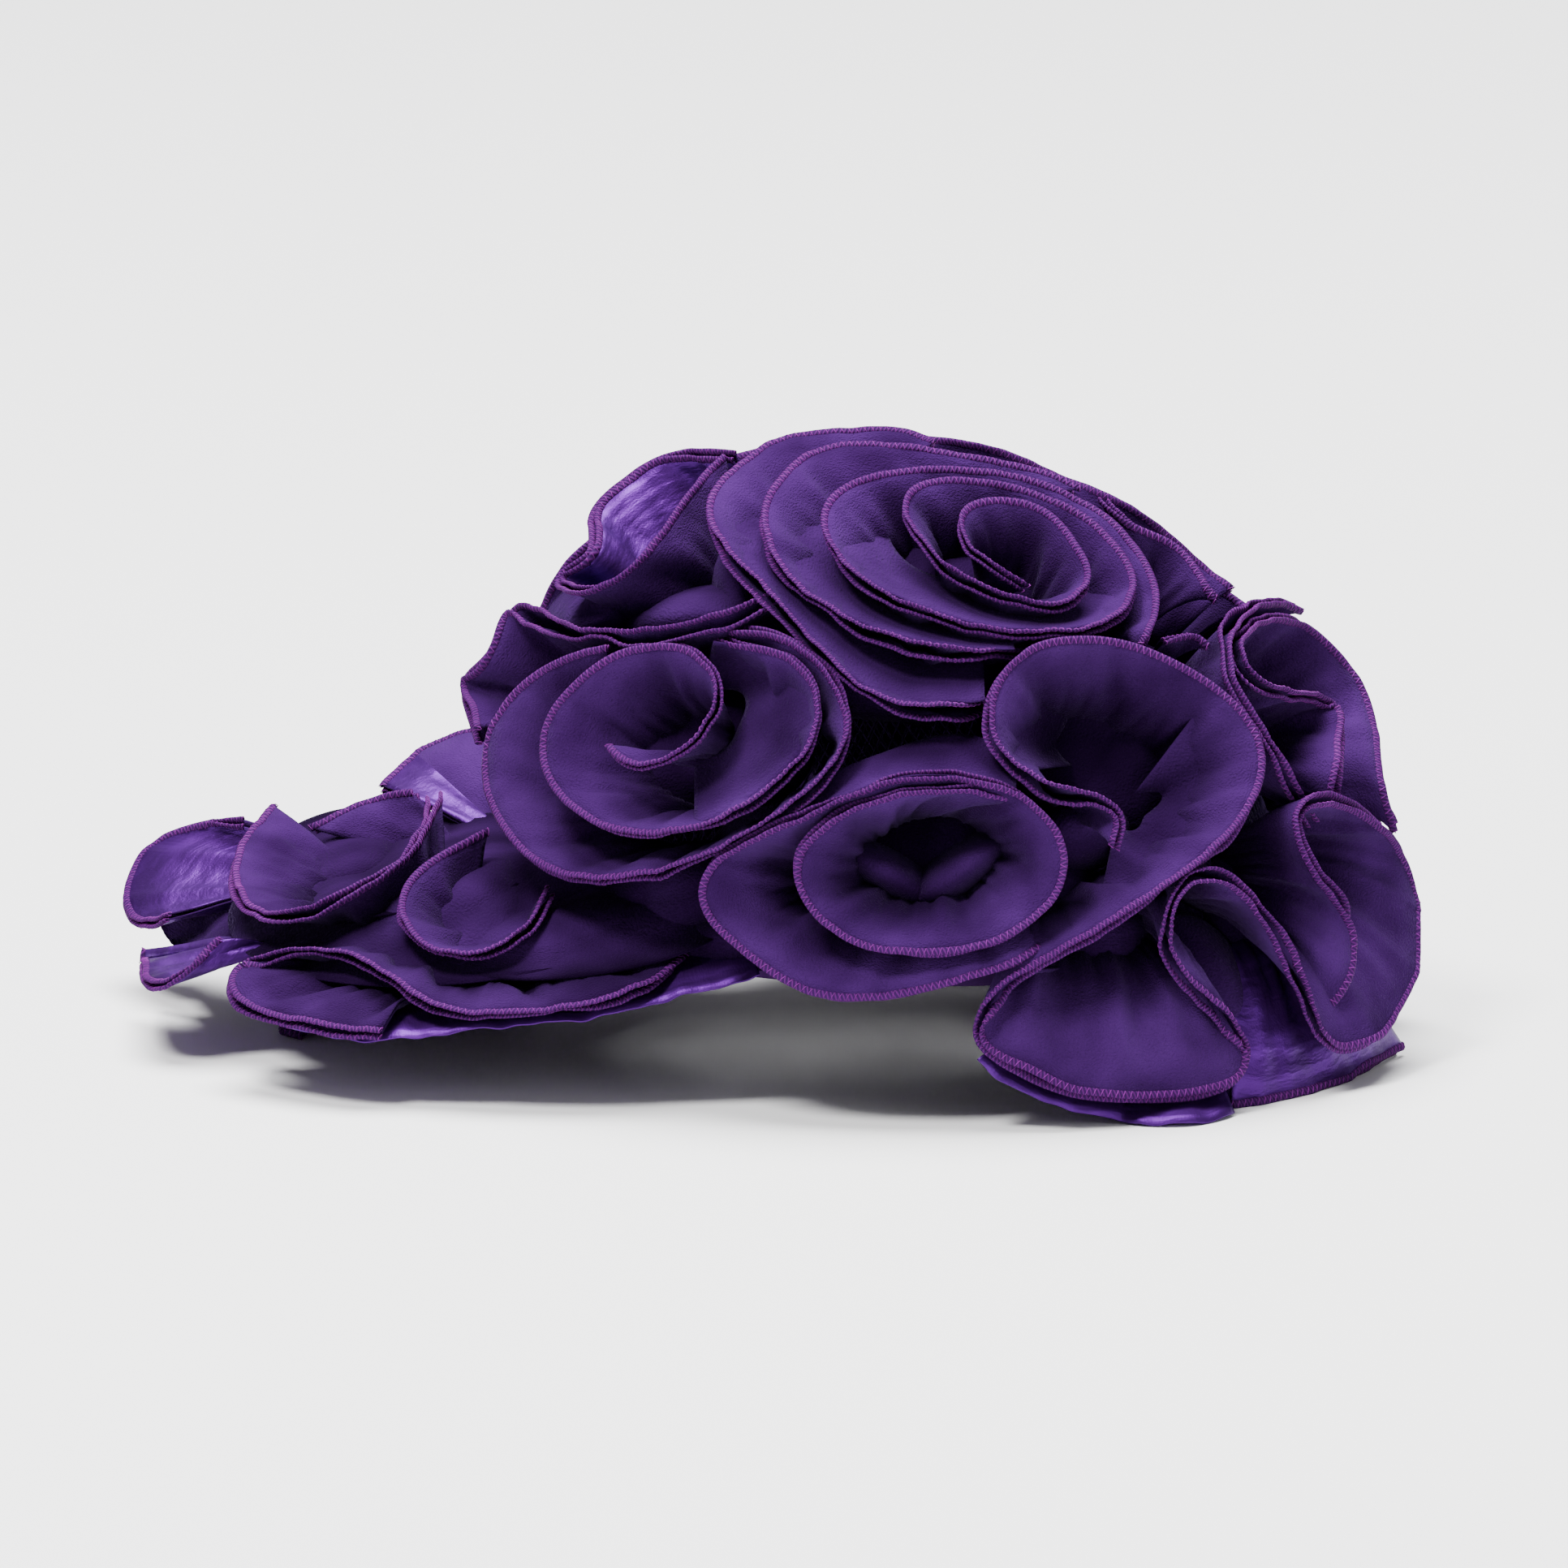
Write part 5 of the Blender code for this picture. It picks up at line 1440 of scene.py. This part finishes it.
class CAP_OT_peak(bpy.types.Operator):
    """Make the covered peak"""
    bl_idname = "cap.peak"
    bl_label = "Peak"
    bl_options = {"REGISTER", "UNDO"}

    def execute(self, context):
        piece = make_peak()
        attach(piece, "root")
        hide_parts("peak")
        return {"FINISHED"}


class CAP_OT_rosettes(bpy.types.Operator):
    """Make the coiled rosettes of both sides"""
    bl_idname = "cap.rosettes"
    bl_label = "Rosettes"
    bl_options = {"REGISTER", "UNDO"}

    def execute(self, context):
        make_named("rosette_")
        return {"FINISHED"}


class CAP_OT_ruffles(bpy.types.Operator):
    """Make the open ruffles at the brow, the back, the ridge and the nape"""
    bl_idname = "cap.ruffles"
    bl_label = "Ruffles"
    bl_options = {"REGISTER", "UNDO"}

    def execute(self, context):
        make_named("ruffle_")
        straight = CROWN_STAND * SEWN_ON["crown"][3]
        for seed, (name, ridge) in enumerate(RIDGES.items()):
            make_ruffle(name, ridge_lines(*ridge), straight, seed + RIDGE_SEED, 1, RIDGE_PART, ())
        return {"FINISHED"}


class CAP_OT_peak_ruffles(bpy.types.Operator):
    """Make the ruffles on and under the peak"""
    bl_idname = "cap.peak_ruffles"
    bl_label = "Peak ruffles"
    bl_options = {"REGISTER", "UNDO"}

    def execute(self, context):
        make_named("peak_")
        straight = UNDER_STAND * SEWN_ON["peak"][3]
        make_ruffle("peak_under", under_lines(), straight, UNDER_SEED, 1, UNDER_PART, ())
        return {"FINISHED"}


class CAP_OT_inner_folds(bpy.types.Operator):
    """Make the cloth that is bunched up inside the loops and the satin strips below the hems"""
    bl_idname = "cap.inner_folds"
    bl_label = "Inner folds"
    bl_options = {"REGISTER", "UNDO"}

    def execute(self, context):
        for seed, (name, row) in enumerate(BUNCHES.items()):
            make_bunch(name, row, seed + 1)
            if row[-1]:
                make_bunch(name + "_right", row, seed + RIGHT_FOLD_SEED, RIGHT_SHRINK)
        for seed, (name, row) in enumerate(SLOPES.items()):
            make_slope(name, row, seed + 1)
            make_slope(name + "_right", row, seed + RIGHT_FOLD_SEED, RIGHT_RUFFLES[row[0]])
        for seed, (name, row) in enumerate(STRIPS.items()):
            make_strip(name, row, seed + STRIP_SEED)
        return {"FINISHED"}


def add_light(name, place, size, power, colour):
    """A soft area light that points at the cap."""
    light = bpy.data.lights.new(name, "AREA")
    light.shape = "DISK"
    light.size = size
    light.energy = power
    light.color = colour
    holder = linked(name, light)
    holder.location = place
    look = Vector(LIGHT_TARGET) - Vector(place)
    holder.rotation_euler = look.to_track_quat("-Z", "Y").to_euler()


class CAP_OT_stage(bpy.types.Operator):
    """Make the floor, the studio light and the camera"""
    bl_idname = "cap.stage"
    bl_label = "Stage"
    bl_options = {"REGISTER", "UNDO"}

    def execute(self, context):
        scene = context.scene
        tone = scene.cap_colours.floor
        paint = Paint("studio_floor")
        colour = paint.mix(paint.noise(paint.place(), 3.0), opaque(tone), opaque(tone, FLOOR_PALE))
        corners = [(x * FLOOR_HALF, y * FLOOR_HALF, 0)
                   for x, y in ((-1, -1), (1, -1), (1, 1), (-1, 1))]
        floor = make_mesh("studio_floor", corners, [(0, 1, 2, 3)], [paint.surface(colour, 0.6)])
        world = bpy.data.worlds.new("studio")
        world.use_nodes = True
        sky = world.node_tree.nodes["Background"]
        sky.inputs["Color"].default_value = (1.0, 1.0, 1.0, 1.0)
        sky.inputs["Strength"].default_value = SKY_STRENGTH
        scene.world = world
        for name, row in LIGHTS.items():
            add_light(name, *row)
        cosine, sine = board_axes()
        away = scene.cap_sizes.camera_distance
        camera = bpy.data.cameras.new("studio_camera")
        camera.sensor_width = CAMERA_SENSOR
        camera.lens = CAMERA_SENSOR * (away - CAMERA_NEAR) / CAMERA_WIDTH
        camera.clip_end = 100.0
        holder = linked("studio_camera", camera)
        holder.location = (CAMERA_X, -away * cosine, CAMERA_HEIGHT + away * sine)
        holder.rotation_euler = (math.radians(90.0 - BOARD_TILT), 0.0, 0.0)
        scene.camera = holder
        return {"FINISHED"}


class CAP_PT_panel(bpy.types.Panel):
    """Sizes, colours and pieces of the rosette cap"""
    bl_idname = "CAP_PT_panel"
    bl_label = "Rosette cap"
    bl_space_type = "VIEW_3D"
    bl_region_type = "UI"
    bl_category = "Rosette cap"

    def draw(self, context):
        layout = self.layout
        for group in (context.scene.cap_sizes, context.scene.cap_colours):
            box = layout.box()
            for prop in group.bl_rna.properties:
                if not prop.is_readonly and prop.identifier != "name":
                    box.prop(group, prop.identifier)
        for maker in MAKERS:
            layout.operator(maker.bl_idname)


MAKERS = (CAP_OT_stage, CAP_OT_net, CAP_OT_peak, CAP_OT_rosettes, CAP_OT_ruffles,
          CAP_OT_peak_ruffles, CAP_OT_inner_folds)
CLASSES = (CapSizes, CapColours) + MAKERS + (CAP_PT_panel,)


def register():
    for item in CLASSES:
        bpy.utils.register_class(item)
    bpy.types.Scene.cap_sizes = bpy.props.PointerProperty(type=CapSizes)
    bpy.types.Scene.cap_colours = bpy.props.PointerProperty(type=CapColours)


def unregister():
    del bpy.types.Scene.cap_colours
    del bpy.types.Scene.cap_sizes
    for item in reversed(CLASSES):
        bpy.utils.unregister_class(item)


def main():
    register()
    bpy.ops.cap.stage()
    bpy.ops.cap.net()
    bpy.ops.cap.peak()
    bpy.ops.cap.rosettes()
    bpy.ops.cap.ruffles()
    bpy.ops.cap.peak_ruffles()
    bpy.ops.cap.inner_folds()


if __name__ == "__main__":
    main()
